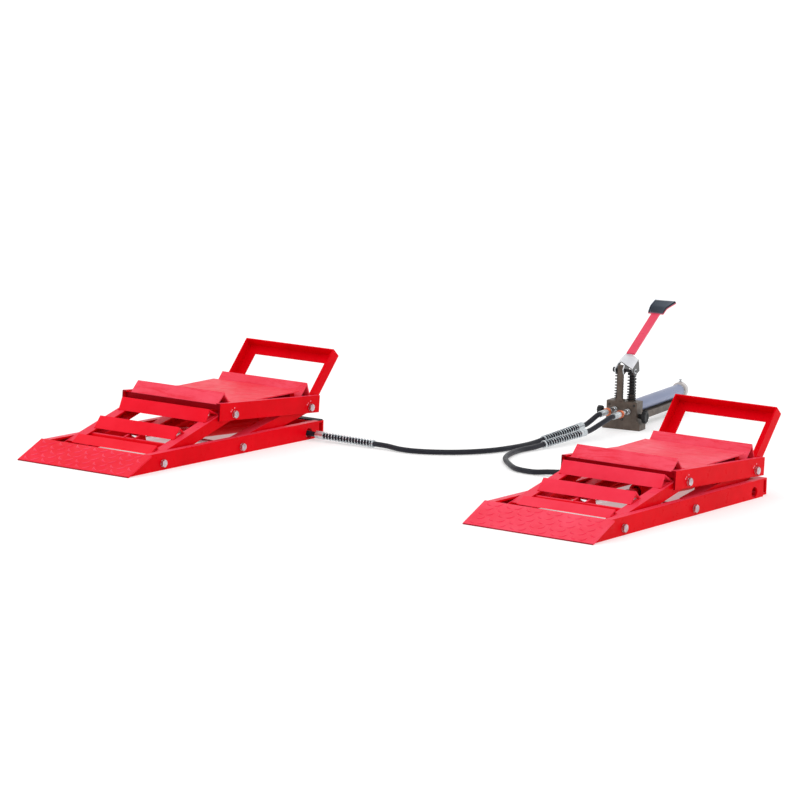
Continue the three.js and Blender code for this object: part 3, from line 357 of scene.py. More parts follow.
LOOKS = {
    "red": paint("red_paint_gloss", RED, DEEP_RED, shine=0.05, top=PAINTED_SHEEN_PINK),
    # The slats, treads, lugs, cradles, chocks and lever are copies of the one red paint. They are paler and
    # pinker than it as a painted sheen. The left lift's slats, tread and cradle are a deeper red than the
    # right's as painted shade.
    "left_slat": paint(
        "red_left_slat", (0.95, 0.018, 0.040), (0.89, 0.008, 0.023), gloss=(0.28, 0.44), shine=0.1,
    ),
    "right_slat": paint(
        "red_right_slat", (0.96, 0.052, 0.096), (0.90, 0.032, 0.066), gloss=(0.28, 0.44), shine=0.1,
    ),
    "left_tread": paint("red_left_tread", (0.90, 0.018, 0.048), (0.84, 0.007, 0.025), gloss=(0.34, 0.5)),
    "right_tread": paint("red_right_tread", (0.94, 0.075, 0.130), (0.88, 0.036, 0.072), gloss=(0.34, 0.5)),
    "lug": paint("red_tread_lug", (0.92, 0.055, 0.110), (0.86, 0.028, 0.065), gloss=(0.34, 0.5)),
    # deep dark red for front faces that lie in shade: painted shade
    "lip": paint("red_front_shade", (0.30, 0.001, 0.006), (0.18, 0.001, 0.004), gloss=(0.4, 0.55)),
    "left_cradle": paint(
        "red_left_cradle_worn", (0.90, 0.052, 0.088), (0.86, 0.026, 0.050), gloss=(0.36, 0.54), shine=0.2,
        worn=(0.80, 0.010, 0.028), stretch=ACROSS,
    ),
    "right_cradle": paint(
        "red_right_cradle_worn", (0.92, 0.090, 0.142), (0.88, 0.048, 0.084), gloss=(0.36, 0.54), shine=0.2,
        worn=(0.80, 0.012, 0.032), stretch=ACROSS,
    ),
    "chock": paint(
        "red_chock_worn", (0.93, 0.095, 0.150), (0.88, 0.048, 0.085), gloss=(0.34, 0.5), shine=0.2,
        worn=(0.80, 0.010, 0.026), stretch=ACROSS,
    ),
    "lever": paint("red_lever", (0.80, 0.080, 0.145), (0.76, 0.060, 0.115), gloss=(0.24, 0.38), shine=0.2),
    "chip": paint("pale_chip", (0.90, 0.36, 0.42), (0.86, 0.22, 0.28), gloss=(0.4, 0.55)),
    "zinc": metal("zinc_plate", (0.66, 0.68, 0.70), (0.36, 0.38, 0.40), (0.18, 0.36)),
    "bolt": metal("dull_bolt", (0.66, 0.56, 0.59), (0.40, 0.30, 0.33), (0.2, 0.4)),
    "chrome": metal("chrome_rod", (0.86, 0.87, 0.88), (0.70, 0.71, 0.73), (0.06, 0.16), depth=0.00001),
    "bright": metal("bright_spring_steel", (0.70, 0.75, 0.78), (0.42, 0.48, 0.52), (0.14, 0.3)),
    "sleeve": metal("satin_sleeve", (0.70, 0.74, 0.76), (0.44, 0.48, 0.51), (0.24, 0.38), metallic=0.9),
    "copper": metal("copper_washer", (0.82, 0.26, 0.12), (0.56, 0.13, 0.06), (0.25, 0.4)),
    "phosphate": metal(
        "phosphated_steel", PHOSPHATE, DARK_PHOSPHATE, (0.38, 0.56), scale=32.0, metallic=0.3, depth=0.0001,
    ),
    "block": block_look(),
    "black_steel": metal(
        "black_steel", (0.018, 0.018, 0.021), (0.008, 0.008, 0.010), (0.3, 0.5), scale=40.0,
        metallic=0.3, depth=0.0001,
    ),
    "spring": metal("black_spring", (0.02, 0.02, 0.023), (0.008, 0.008, 0.010), (0.24, 0.4), metallic=0.5),
    # the pale head metal stands for the pedal head's lit top, the dark ear metal for its sides in painted
    # shade
    "head": metal(
        "pale_head", (0.76, 0.78, 0.81), (0.64, 0.66, 0.70), (0.3, 0.48), scale=30.0, metallic=0.35,
    ),
    "ear": metal("dark_ear", (0.12, 0.12, 0.12), (0.05, 0.05, 0.05), (0.28, 0.45), scale=40.0, metallic=0.7),
    "tank": tank_look(),
    "cap": moulded(
        "pale_cap", (0.60, 0.58, 0.57), (0.66, 0.64, 0.62), (0.4, 0.55), scale=300.0, depth=0.00005,
    ),
    "knob": moulded("black_knob", (0.004, 0.004, 0.005), (0.016, 0.016, 0.017), (0.36, 0.52)),
    "pad": moulded("pad_rubber", (0.180, 0.215, 0.275), (0.250, 0.285, 0.345), (0.46, 0.64)),
    # near-black painted into the pad's grooves: painted shade
    "groove": moulded("pad_groove_shade", (0.004, 0.006, 0.009), (0.010, 0.013, 0.017), (0.6, 0.75), shine=0.05),
    "stop": moulded("stop_rubber", (0.006, 0.005, 0.006), (0.018, 0.016, 0.017), (0.5, 0.68), shine=0.15),
    "hose": hose_look(),
}


def dress(target, *looks):
    target.data.materials.clear()
    for look in looks:
        target.data.materials.append(LOOKS[look])


# Mesh building

SMOOTH_DEGREES = 32.0
HEXAGON_SIDES = 24
NEARLY_UPRIGHT = 0.9
SHORT_OF_END = 1e-9


def place_object(name, mesh):
    made = bpy.data.objects.new(name, mesh)
    bpy.context.scene.collection.objects.link(made)
    return made


def piece(name, vertices, faces, look, body, degrees):
    """A visible piece, shaded smooth apart from the edges that are sharper than the angle."""
    mesh = bpy.data.meshes.new(name)
    mesh.from_pydata([tuple(vertex) for vertex in vertices], [], faces)
    builder = bmesh.new()
    builder.from_mesh(mesh)
    bmesh.ops.recalc_face_normals(builder, faces=builder.faces)
    for face in builder.faces:
        face.smooth = True
    for edge in builder.edges:
        if len(edge.link_faces) == 2:
            edge.smooth = edge.calc_face_angle(0.0) < math.radians(degrees)
    builder.to_mesh(mesh)
    builder.free()
    made = place_object(name, mesh)
    mesh.materials.append(LOOKS[look])
    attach(made, body)
    return made


def polar(radius, angle, along):
    """A point about a z axis."""
    return Vector((radius * math.cos(angle), radius * math.sin(angle), along))


def outline(points, start=0.0):
    """Metres from an outline in millimetres, whose points are places along an axis and radii."""
    return [(start + along / 1000, radius / 1000) for along, radius in points]


def banded(start, end, bore, radius, rim, lead, tail):
    """Outline of a ring whose outer edges are turned down by the rim, over the lead and the tail."""
    return [
        (start, bore), (start, radius - rim), (start + lead, radius),
        (end - tail, radius), (end, radius - rim), (end, bore),
    ]


class Solid:
    """Vertices and faces gathered from several closed forms."""

    def __init__(self):
        self.vertices = []
        self.faces = []

    def rings(self, rings):
        """Joins rings of points with quads, and closes both ends."""
        first = len(self.vertices)
        sides = len(rings[0])
        for ring in rings:
            self.vertices.extend(ring)
        for i in range(len(rings) - 1):
            for j in range(sides):
                low = first + i * sides
                high = low + sides
                k = (j + 1) % sides
                self.faces.append((low + j, low + k, high + k, high + j))
        self.faces.append(tuple(first + j for j in range(sides))[::-1])
        last = first + (len(rings) - 1) * sides
        self.faces.append(tuple(last + j for j in range(sides)))
        return self

    def lathe(self, place, profile, sides=40):
        """Turns (along, radius) points about the place's z axis."""
        angles = [math.tau * j / sides for j in range(sides)]
        return self.rings([
            [place @ polar(radius, angle, along) for angle in angles] for along, radius in profile
        ])

    def tube(self, path, radius, sides):
        """A round tube along a path, with one radius or one for each point."""
        rings = []
        across = None
        for i, point in enumerate(path):
            along = (path[min(i + 1, len(path) - 1)] - path[max(i - 1, 0)]).normalized()
            if across is None:
                across = guide_for(along).cross(along)
            across = (across - along * across.dot(along)).normalized()
            third = along.cross(across)
            size = radius[i] if isinstance(radius, list) else radius
            ring = []
            for j in range(sides):
                angle = math.tau * j / sides
                ring.append(point + (across * math.cos(angle) + third * math.sin(angle)) * size)
            rings.append(ring)
        return self.rings(rings)

    def make(self, name, look, body, slot, degrees=SMOOTH_DEGREES):
        return piece(name, self.vertices, self.faces, look, body, degrees)


def guide_for(direction):
    """The z axis, or the x axis where the direction is nearly upright."""
    return Vector((0, 0, 1)) if abs(direction.z) < NEARLY_UPRIGHT else Vector((1, 0, 0))


def along_axis(origin, direction):
    """A frame at the origin whose z axis is the direction."""
    z = Vector(direction).normalized()
    guide = guide_for(z)
    x = (guide - z * guide.dot(z)).normalized()
    y = z.cross(x)
    turn = Matrix((x, y, z)).transposed().to_4x4()
    return Matrix.Translation(Vector(origin)) @ turn


def turned(axis, degrees):
    return Matrix.Rotation(math.radians(degrees), 4, axis)


def hexagon_ring(place, along, half_width, corner):
    """A hexagon across flats, with its corners cut back to a radius."""
    ring = []
    for j in range(HEXAGON_SIDES):
        angle = math.tau * j / HEXAGON_SIDES
        off_flat = angle % (math.pi / 3) - math.pi / 6
        ring.append(place @ polar(min(half_width / math.cos(off_flat), corner), angle, along))
    return ring


def catmull_rom(points, count):
    """Centripetal curve through the points, evenly numbered between them."""
    points = [Vector(point) for point in points]
    padded = [points[0] * 2 - points[1], *points, points[-1] * 2 - points[-2]]
    made = []
    stretches = len(points) - 1
    for step in range(count + 1):
        where = min(step * stretches / count, stretches - SHORT_OF_END)
        i = int(where)
        share = where - i
        a, b, c, d = padded[i:i + 4]
        gaps = [math.sqrt((q - p).length) for p, q in ((a, b), (b, c), (c, d))]
        first = ((b - a) / gaps[0] - (c - a) / (gaps[0] + gaps[1]) + (c - b) / gaps[1]) * gaps[1]
        last = ((c - b) / gaps[1] - (d - b) / (gaps[1] + gaps[2]) + (d - c) / gaps[2]) * gaps[1]
        square, cube = share ** 2, share ** 3
        made.append(
            b * (2 * cube - 3 * square + 1) + first * (cube - 2 * square + share)
            + c * (3 * square - 2 * cube) + last * (cube - square)
        )
    return made


# Cords come first

COIL_STEPS = 28
COIL_SIDES = 10


def spring_guard(name):
    start, end, curls = GUARDS[name]
    start, end = Vector(start), Vector(end)
    length = (end - start).length
    place = along_axis(start, end - start)
    low, high = SLEEVE_LENGTH - COIL_LAP, length - END_RING + COIL_LAP
    path = []
    for i in range(curls * COIL_STEPS + 1):
        along = low + (high - low) * i / (curls * COIL_STEPS)
        path.append(place @ polar(GUARD_RADIUS, math.tau * i / COIL_STEPS, along))
    coil = Solid().tube(path, GUARD_WIRE, COIL_SIDES)
    wound = coil.make(name.replace("hose_guard", "guard_coil"), "bright", "base", "bright_steel")
    fittings = Solid()
    for near, far in ((0.0, SLEEVE_LENGTH), (length - END_RING, length)):
        profile = banded(near, far, GUARD_BORE, SLEEVE_RADIUS, SLEEVE_RIM, SLEEVE_RIM, SLEEVE_RIM)
        fittings.lathe(place, profile)
    sleeves = fittings.make(name.replace("hose_guard", "guard_sleeves"), "sleeve", "base", "bright_steel")
    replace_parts(wound, name)
    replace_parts(sleeves, name)
    return [wound, sleeves]


def hose(name, route, guards):
    path = catmull_rom(route, HOSE_RINGS)
    tube = Solid().tube(path, HOSE_RADIUS, HOSE_SIDES).make(name + "_tube", "hose", "base", "hose_rubber")
    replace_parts(tube, name)
    on_it = [part for guard in guards for part in spring_guard(guard)]


make_camera()
hose("left_hose", LEFT_ROUTE, ["left_lift_hose_guard", "back_pump_hose_guard"])
hose("right_hose", RIGHT_ROUTE, ["right_lift_hose_guard", "front_pump_hose_guard"])


# Places on the lifts and the pump

def lift_place(side):
    return Matrix.Translation((LIFTS[side]["x"], LIFTS[side]["y"], 0.0))


def base_pivot(side, at):
    return lift_place(side) @ Matrix.Translation((0, BASE_PIVOTS[at], BASE_PIVOT_Z))


def climb_place(side):
    return base_pivot(side, "front") @ turned("X", LIFTS[side]["climb"])


def platform_place(side):
    level = turned("X", -LIFTS[side]["climb"] - LIFTS[side]["dip"])
    return climb_place(side) @ Matrix.Translation((0, ARM, 0)) @ level


PUMP_PLACE = Matrix.Translation((*PUMP, 0.0)) @ turned("Z", PUMP_YAW)
PEDAL_PLACE = PUMP_PLACE @ Matrix.Translation((0, PEDAL_Y, PEDAL_Z)) @ turned("X", LEVER_SLOPE)
TANK_PLACE = PUMP_PLACE @ Matrix.Translation((TANK_X, 0, TANK_Z)) @ turned("X", -90)


# CAD nodes that stay get materials and softened edges

KEPT_LOOKS = {
    "base_frame": "red", "ramp_plate": "{}_tread", "climb_arm": "red", "rear_arm": "red",
    "slat_low": "{}_slat", "slat_mid": "{}_slat", "slat_top": "{}_slat", "platform_frame": "red",
    "wheel_cradle": "{}_cradle", "front_chock": "chock", "rear_chock": "chock", "handle": "red",
    "ram_cylinder": "red", "ram_rod": "chrome",
}
PUMP_LOOKS = {
    "pump_block": "block", "pump_tank_bracket": "phosphate", "pump_fulcrum_link": "phosphate",
    "pump_fulcrum_pin": "black_steel", "pump_pedal_head": "head", "pump_pedal_lever": "lever",
    "pump_left_plunger": "black_steel", "pump_right_plunger": "black_steel",
}
EDGE = 0.0007
WELDED = 0.00001
FLAT_WEIGHT = 90


def soften(target):
    """Rounds the CAD node's edges with modifiers, which leave its mesh as it is."""
    target.data.polygons.foreach_set("use_smooth", [True] * len(target.data.polygons))
    weld = target.modifiers.new("weld", "WELD")
    weld.merge_threshold = WELDED
    bevel = target.modifiers.new("edges", "BEVEL")
    bevel.limit_method = "ANGLE"
    bevel.angle_limit = math.radians(SMOOTH_DEGREES)
    bevel.width = EDGE
    bevel.segments = 2
    bevel.use_clamp_overlap = True
    normals = target.modifiers.new("normals", "WEIGHTED_NORMAL")
    normals.mode = "FACE_AREA"
    normals.weight = FLAT_WEIGHT


for side in LIFTS:
    for part, look in KEPT_LOOKS.items():
        dress(nodes[f"{side}_{part}"], look.format(side))
        soften(nodes[f"{side}_{part}"])
for name, look in PUMP_LOOKS.items():
    dress(nodes[name], look)
    soften(nodes[name])


# Lift details

BOLT_GAP = 0.0003
BOLT_HALF_WIDTH = 0.0095
BOLT_CORNER = BOLT_HALF_WIDTH / math.cos(math.pi / 6)
BOLT_HEX = (  # along in metres, and the radius that cuts the corners
    (0.0012, 0.97 * BOLT_CORNER), (0.0017, BOLT_CORNER), (0.0066, BOLT_CORNER),
    (0.0074, BOLT_HALF_WIDTH), (0.0075, 0.92 * BOLT_HALF_WIDTH),
)
WASHER_THICKNESS = 0.0012
WASHER_BORE = 0.0066
WASHER_RADIUS = 0.0103
WASHER_RIM = {"rim": 0.0002, "lead": 0.0003, "tail": 0.0002}
SHANK_RADIUS = 0.006
SHANK_LAP = 0.003


def hexagon_bolt(name, at, half, body):
    """A through bolt with a washer and a chamfered head or nut at each end."""
    solid = Solid()
    face = half + BOLT_GAP
    washer = banded(face, face + WASHER_THICKNESS, WASHER_BORE, WASHER_RADIUS, **WASHER_RIM)
    for degrees in (-90, 90):
        seat = at @ turned("Y", degrees)
        solid.lathe(seat, washer, sides=32)
        solid.rings([
            hexagon_ring(seat, face + along, BOLT_HALF_WIDTH, corner) for along, corner in BOLT_HEX
        ])
    reach = half + SHANK_LAP
    solid.lathe(at @ turned("Y", 90), [(-reach, SHANK_RADIUS), (reach, SHANK_RADIUS)], sides=24)
    made = solid.make(name + "_detailed", "bolt", body, "zinc_plate")
    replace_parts(made, name)


RIPPLE = 0.0028
RIPPLE_RINGS = 4
RIPPLE_LOW_SHARE = 0.86
BEAD_START_SHARE = 0.45
BEAD_SWELL = 6


def weld_bead(solid, place, start, end, radius):
    """A run of weld: a low ribbed bead."""
    start, end = place @ Vector(start), place @ Vector(end)
    ripples = max(int((end - start).length / RIPPLE), 2)
    path, radii = [], []
    for i in range(ripples * RIPPLE_RINGS + 1):
        share = i / (ripples * RIPPLE_RINGS)
        path.append(start.lerp(end, share))
        wave = RIPPLE_LOW_SHARE + (1 - RIPPLE_LOW_SHARE) * abs(math.sin(math.pi * share * ripples))
        taper = min(1.0, BEAD_START_SHARE + BEAD_SWELL * min(share, 1 - share))
        radii.append(radius * wave * taper)
    solid.tube(path, radii, sides=10)


LUG_PITCH_X = 0.0295
LUG_PITCH_Y = 0.0180
LUG_LENGTH = 0.0235
LUG_WIDTH = 0.0034
LUG_HEIGHT = 0.0013
LUG_BOW = 0.0046
LUG_LEAN = 38
LUG_STEPS = 8
LUG_STAGGER_SHARE = 0.25
LUG_START_SHARE = 0.62
LUG_SECTION = ((-1, -0.25), (-0.6, 0.72), (0, 1.0), (0.6, 0.72), (1, -0.25))
LUG_TIP = 0.0002
LUG_TIP_SHARE = 0.02
LUG_SMOOTH_DEGREES = 80.0


def tread_lugs(side):
    """Raised crescents on the ramp, in rows that lean alternately."""
    solid = Solid()
    slope = math.degrees(math.atan2(RAMP_RISE, RAMP_RUN))
    place = lift_place(side) @ Matrix.Translation((0, 0, RAMP_SKIN)) @ turned("X", slope)
    run = math.hypot(RAMP_RISE, RAMP_RUN)
    rows = int(run / LUG_PITCH_Y)
    columns = int(RAMP_WIDTH / LUG_PITCH_X)
    for row in range(rows):
        stagger = LUG_STAGGER_SHARE if row % 2 else -LUG_STAGGER_SHARE
        for column in range(columns):
            x = (column - (columns - 1) / 2 + stagger) * LUG_PITCH_X
            y = (row + LUG_START_SHARE) * run / (rows + LUG_STAGGER_SHARE)
            lean = LUG_LEAN if (row + column) % 2 else -LUG_LEAN
            crescent(solid, place @ Matrix.Translation((x, y, 0)) @ turned("Z", lean))
    solid.make(f"{side}_ramp_tread", "lug", "base", "red_paint", LUG_SMOOTH_DEGREES)


def crescent(solid, place):
    rings = []
    for i in range(LUG_STEPS + 1):
        share = 2 * i / LUG_STEPS - 1
        round_share = 1 - share ** 2
        half = max(LUG_WIDTH * round_share ** 0.5, LUG_TIP)
        rise = LUG_HEIGHT * max(round_share, LUG_TIP_SHARE) ** 0.5
        centre = Vector((share * LUG_LENGTH / 2, LUG_BOW * (share ** 2 - 0.5), 0))
        rings.append([
            place @ (centre + Vector((0, across * half, up * rise))) for across, up in LUG_SECTION
        ])
    solid.rings(rings)


SLAT_END_BEAD = 0.006
SLAT_END_INSET = 0.001
SLAT_BEAD_GAP = 0.0004
SLAT_SIDE_GAP = 0.0003
SLAT_BEADS = {"end": 0.0016, "side": 0.0014}
HANDLE_BEAD_Y = 0.3905
HANDLE_BEAD = 0.032
HANDLE_BEAD_RADIUS = 0.0019
HANDLE_FEET = (-0.155, 0.123)
CHOCK_BEAD = 0.07
CHOCK_BEAD_RADIUS = 0.0013
CHOCK_BEADS_X = (-0.148, 0.075)
CHOCK_BEADS_Y = (0.008, 0.318)
CHIP_X = 0.1703
CHIPS = ((-0.0165, 0.0085, 0.0023), (-0.012, 0.0125, 0.0019), (-0.0015, 0.0175, 0.0022))  # y, z, radius
CHIP_OUTLINE = (  # along in metres, share of the radius
    (-0.0004, 1.0), (0.0001, 0.9), (0.0004, 0.5), (0.0005, 0.1),
)


def lift_welds(side):
    """Weld runs at the slats' feet, the chocks and the handle's legs, and chips by the platform's bolts."""
    arm = Solid()
    place = climb_place(side)
    for foot, length, half in SLAT_FEET:
        for y in (foot - SLAT_BEAD_GAP, foot + length + SLAT_BEAD_GAP):
            for x in (-half + SLAT_END_INSET, half - SLAT_END_INSET - SLAT_END_BEAD):
                weld_bead(arm, place, (x, y, ARM_TOP), (x + SLAT_END_BEAD, y, ARM_TOP), SLAT_BEADS["end"])
        for x in (-half - SLAT_SIDE_GAP, half + SLAT_SIDE_GAP):
            weld_bead(arm, place, (x, foot, ARM_TOP), (x, foot + length, ARM_TOP), SLAT_BEADS["side"])
    arm.make(f"{side}_slat_welds", "red", f"{side}_climb_arm", "red_paint")

    top = Solid()
    place = platform_place(side)
    runs = [(x, HANDLE_BEAD_Y, HANDLE_BEAD, HANDLE_BEAD_RADIUS) for x in HANDLE_FEET]
    runs += [(x, y, CHOCK_BEAD, CHOCK_BEAD_RADIUS) for y in CHOCK_BEADS_Y for x in CHOCK_BEADS_X]
    for x, y, length, radius in runs:
        weld_bead(top, place, (x, y, PLATFORM_TOP), (x + length, y, PLATFORM_TOP), radius)
    chips = Solid()
    for pivot in PLATFORM_PIVOTS.values():
        for y, z, radius in CHIPS:
            for sign in (-1, 1):
                seat = place @ Vector((sign * CHIP_X, pivot + y, z))
                profile = [(along, share * radius) for along, share in CHIP_OUTLINE]
                chips.lathe(along_axis(seat, (sign, 0, 0)), profile, sides=12)
    chips.make(f"{side}_platform_chips", "chip", f"{side}_platform", "red_paint")
    top.make(f"{side}_platform_welds", "red", f"{side}_platform", "red_paint")


FRONTWARD = -0.9


def shaded_fronts(side):
    """The ramp's cut front lip and the platform's front under its chock are darker than the rest: a deep red
    painted on their front faces as painted shade.
    """
    for name, look in ((f"{side}_ramp_plate", f"{side}_tread"), (f"{side}_platform_frame", "red")):
        dress(nodes[name], look, "lip")
        for face in nodes[name].data.polygons:
            face.material_index = 1 if face.normal.y < FRONTWARD else 0


STOP_X = (0.076, 0.1715)
STOP_Y = (0.8545, 0.8855)
STOP_Z = 0.0441
STOP_CORNER = 0.004
STOP_LAYERS = ((0.0006, 0.0), (0.0, 0.0005), (0.0, 0.0019), (0.0007, 0.0026))  # inset, height


def stop_pad(side):
    """Thin rubber strip on the rear cross, which the platform's tail comes down on."""
    place = lift_place(side)
    rings = []
    for inset, height in STOP_LAYERS:
        plan = rounded_plan(
            (STOP_X[0] + inset, STOP_X[1] - inset), (STOP_Y[0] + inset, STOP_Y[1] - inset), STOP_CORNER,
        )
        rings.append([place @ Vector((x, y, STOP_Z + height)) for x, y in plan])
    Solid().rings(rings).make(f"{side}_stop_pad", "stop", "base", "black_plastic")


def rounded_plan(xs, ys, radius, steps=5):
    """Outline of a rectangle with round corners."""
    points = []
    corners = ((xs[1], ys[1]), (xs[0], ys[1]), (xs[0], ys[0]), (xs[1], ys[0]))
    for quarter, (x, y) in enumerate(corners):
        centre_x = x - radius if quarter in (0, 3) else x + radius
        centre_y = y - radius if quarter in (0, 1) else y + radius
        for step in range(steps + 1):
            angle = math.pi / 2 * (quarter + step / steps)
            points.append((centre_x + radius * math.cos(angle), centre_y + radius * math.sin(angle)))
    return points


for side in LIFTS:
    for at in BASE_PIVOTS:
        hexagon_bolt(f"{side}_base_{at}_bolt", base_pivot(side, at), BASE_HALF, "base")
    for at, along in PLATFORM_PIVOTS.items():
        pivot = platform_place(side) @ Matrix.Translation((0, along, 0))
        hexagon_bolt(f"{side}_platform_{at}_bolt", pivot, PLATFORM_HALF, f"{side}_platform")
    tread_lugs(side)
    lift_welds(side)
    shaded_fronts(side)
stop_pad("left")


# Pump details

SPRING_LOW = 0.0823
SPRING_HIGH = 0.1567
SPRING_WIRE = 0.0019
SPRING_RADIUS = 0.0116
SPRING_CURLS = 9
SPRING_STEPS = 30
SPRING_CROWDING = 1.2
COUPLER_HEX = (  # along in metres, share of the width
    (0.0305, 0.94), (0.032, 1.0), (0.048, 1.0), (0.0495, 0.94),
)
COUPLER_HALF_WIDTH = 0.0080
COUPLER_CORNER = 0.0085
STUB = (  # along and radius in millimetres, as in the outlines after it
    (0.3, 7.0), (1.5, 8.3), (8.0, 8.3), (9.0, 7.4), (11.0, 7.4), (12.0, 8.3), (19.0, 8.3), (20.0, 7.0),
    (23.0, 7.0), (24.0, 8.0), (30.0, 8.0), (30.5, 6.6), (50.0, 6.6), (50.8, 8.0), (56.0, 8.0), (56.0, 6.0),
)
COPPER_RING = (
    (56.0, 7.0), (56.0, 10.4), (56.8, 11.3), (60.5, 11.4), (61.0, 10.6), (63.0, 10.6), (63.5, 11.4),
    (67.2, 11.3), (68.0, 10.4), (68.0, 7.0),
)
FERRULE_START = ((68.1, 7.6), (68.1, 8.4), (68.8, 8.9))
FERRULE_GROOVE = ((0.0, 8.9), (0.8, 8.1), (3.4, 8.1), (4.2, 8.9))
FERRULE_GROOVES = (0.0760, 0.0852, 0.0944, 0.1036)
FERRULE_END = ((115.2, 8.9), (116.0, 8.3), (116.0, 7.4))


def on_pump(x, y, z):
    return PUMP_PLACE @ Vector((x, y, z))


def return_spring(side, x):
    """The spring round a plunger, with closer curls lower down."""
    place = PUMP_PLACE @ Matrix.Translation((x, PLUNGER_Y, 0))
    start, end = SPRING_LOW + SPRING_WIRE, SPRING_HIGH - SPRING_WIRE
    count = SPRING_CURLS * SPRING_STEPS
    path = []
    for i in range(count + 1):
        z = start + (end - start) * (i / count) ** SPRING_CROWDING
        path.append(place @ polar(SPRING_RADIUS, math.tau * i / SPRING_STEPS, z))
    coil = Solid().tube(path, SPRING_WIRE, sides=12)
    made = coil.make(f"{side}_plunger_coil", "spring", "base", "black_steel")
    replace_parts(made, f"pump_{side}_return_spring")
    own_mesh(made)


def coupler(side, x, z):
    """Steel stub with a hexagon, a copper ring, and a crimped ferrule over the hose."""
    place = PUMP_PLACE @ Matrix.Translation((x, 0, z)) @ turned("X", 90)
    stub = Solid().rings([
        hexagon_ring(place, along, share * COUPLER_HALF_WIDTH, share * COUPLER_CORNER)
        for along, share in COUPLER_HEX
    ])
    stub.lathe(place, outline(STUB))
    ferrule = outline(FERRULE_START)
    for start in FERRULE_GROOVES:
        ferrule += outline(FERRULE_GROOVE, start)
    ferrule += outline(FERRULE_END)
    ring = Solid().lathe(place, outline(COPPER_RING))
    crimped = Solid().lathe(place, ferrule)
    parts = {"stub": (stub, "zinc"), "ring": (ring, "copper"), "ferrule": (crimped, "sleeve")}
    for part, (solid, look) in parts.items():
        made = solid.make(f"{side}_coupler_{part}", look, "base", "bright_steel")
        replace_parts(made, f"pump_{side}_coupler")


KNOB_LAYERS = (  # shares of the length and the radius
    (0.0, 0.80), (0.05, 0.93), (0.16, 1.0), (0.84, 1.0),
    (0.95, 0.93), (1.0, 0.80), (1.0, 0.62), (0.94, 0.55),
)
FLUTED_ABOVE = 0.7  # share of the radius
FLUTE_SHARE = 0.07
STEPS_PER_LOBE = 10
STEM_LEAD = 0.0006
STEM_NECK = 0.003
STEM_SHOULDER = 0.002
STEM_END_SHARE = 0.8
STEM_NECK_SHARE = 0.85


def knob(side, sign, z, radius, length, stem, stem_radius, lobes):
    """Fluted knob on its stem, with a dished face."""
    place = PUMP_PLACE @ Matrix.Translation((0, KNOB_Y, z)) @ turned("Y", sign * 90)
    start = BLOCK_SIDE + stem
    rings = []
    for share, size in KNOB_LAYERS:
        ring = []
        for j in range(lobes * STEPS_PER_LOBE):
            angle = math.tau * j / (lobes * STEPS_PER_LOBE)
            wave = math.cos(lobes * angle) if size > FLUTED_ABOVE else 0
            flute = 1 - FLUTE_SHARE + FLUTE_SHARE * wave
            ring.append(place @ polar(radius * size * flute, angle, start + share * length))
        rings.append(ring)
    grip = Solid().rings(rings)
    neck_radius = STEM_NECK_SHARE * stem_radius
    grip.lathe(place, [
        (BLOCK_SIDE, STEM_END_SHARE * stem_radius), (BLOCK_SIDE + STEM_LEAD, stem_radius),
        (start - STEM_NECK, stem_radius), (start - STEM_SHOULDER, neck_radius),
        (start + STEM_SHOULDER, neck_radius),
    ], sides=32)
    made = grip.make(f"{side}_knob_fluted", "knob", f"pump_{side}_release_knob", "black_plastic")
    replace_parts(made, f"pump_{side}_release_knob")


CAP_START = 0.4083
CAP = (
    (0.0, 15.0), (0.0, 22.6), (1.2, 23.8), (15.0, 23.8), (17.0, 23.0), (19.2, 20.5), (19.8, 18.0),
    (19.8, 9.5), (18.8, 8.5), (18.8, 1.0),
)
CAP_SCREW = ((-1.0, 3.0), (0.0, 3.0), (1.0, 2.8), (1.4, 2.0), (0.9, 1.2), (0.8, 0.1))
CAP_SCREW_ANGLES = (-0.62, math.pi / 2 + 1.0, math.pi / 2 + 2.6)
CAP_SCREW_Y = CAP_START + 0.0085
CAP_SCREW_REACH = 0.0236
BREATHER_Y = 0.418
BREATHER_FOOT = TANK_Z + 0.0243
BREATHER = (
    (0.0, 4.0), (0.0, 5.6), (0.4, 5.9), (1.6, 5.9), (2.0, 5.4), (2.2, 2.4), (5.0, 2.2), (5.2, 4.2),
    (6.0, 4.8), (7.8, 4.8), (8.8, 3.6), (8.9, 0.6),
)


def tank_cap():
    """End cap with a stepped rim, three plug screws and the breather."""
    profile = outline(CAP, CAP_START)
    cap = Solid().lathe(TANK_PLACE, profile, sides=56).make("tank_cap_turned", "cap", "base", "pale_plastic")
    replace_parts(cap, "pump_tank_cap")
    screws = Solid()
    for angle in CAP_SCREW_ANGLES:
        out = PUMP_PLACE.to_3x3() @ Vector((math.cos(angle), 0, math.sin(angle)))
        seat = on_pump(TANK_X, CAP_SCREW_Y, TANK_Z) + out.normalized() * CAP_SCREW_REACH
        screws.lathe(along_axis(seat, out), outline(CAP_SCREW), sides=20)
    screws.make("tank_cap_screws", "zinc", "base", "bright_steel")
    top = PUMP_PLACE @ Matrix.Translation((TANK_X, BREATHER_Y, 0))
    plug = Solid().lathe(top, outline(BREATHER, BREATHER_FOOT), sides=28)
    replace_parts(plug.make("breather_plug", "zinc", "base", "bright_steel"), "pump_breather")


TANK_TUBE = ((46.3, 17.0), (46.3, 18.5), (408.0, 18.5), (408.0, 17.0))
TANK_BANDS = (0.0465, 0.4010)
BAND_WIDTH = 0.0064
BAND_BORE = 0.0180
BAND_RADIUS = 0.0195
BAND_RIM = {"rim": 0.0007, "lead": 0.0008, "tail": 0.0008}


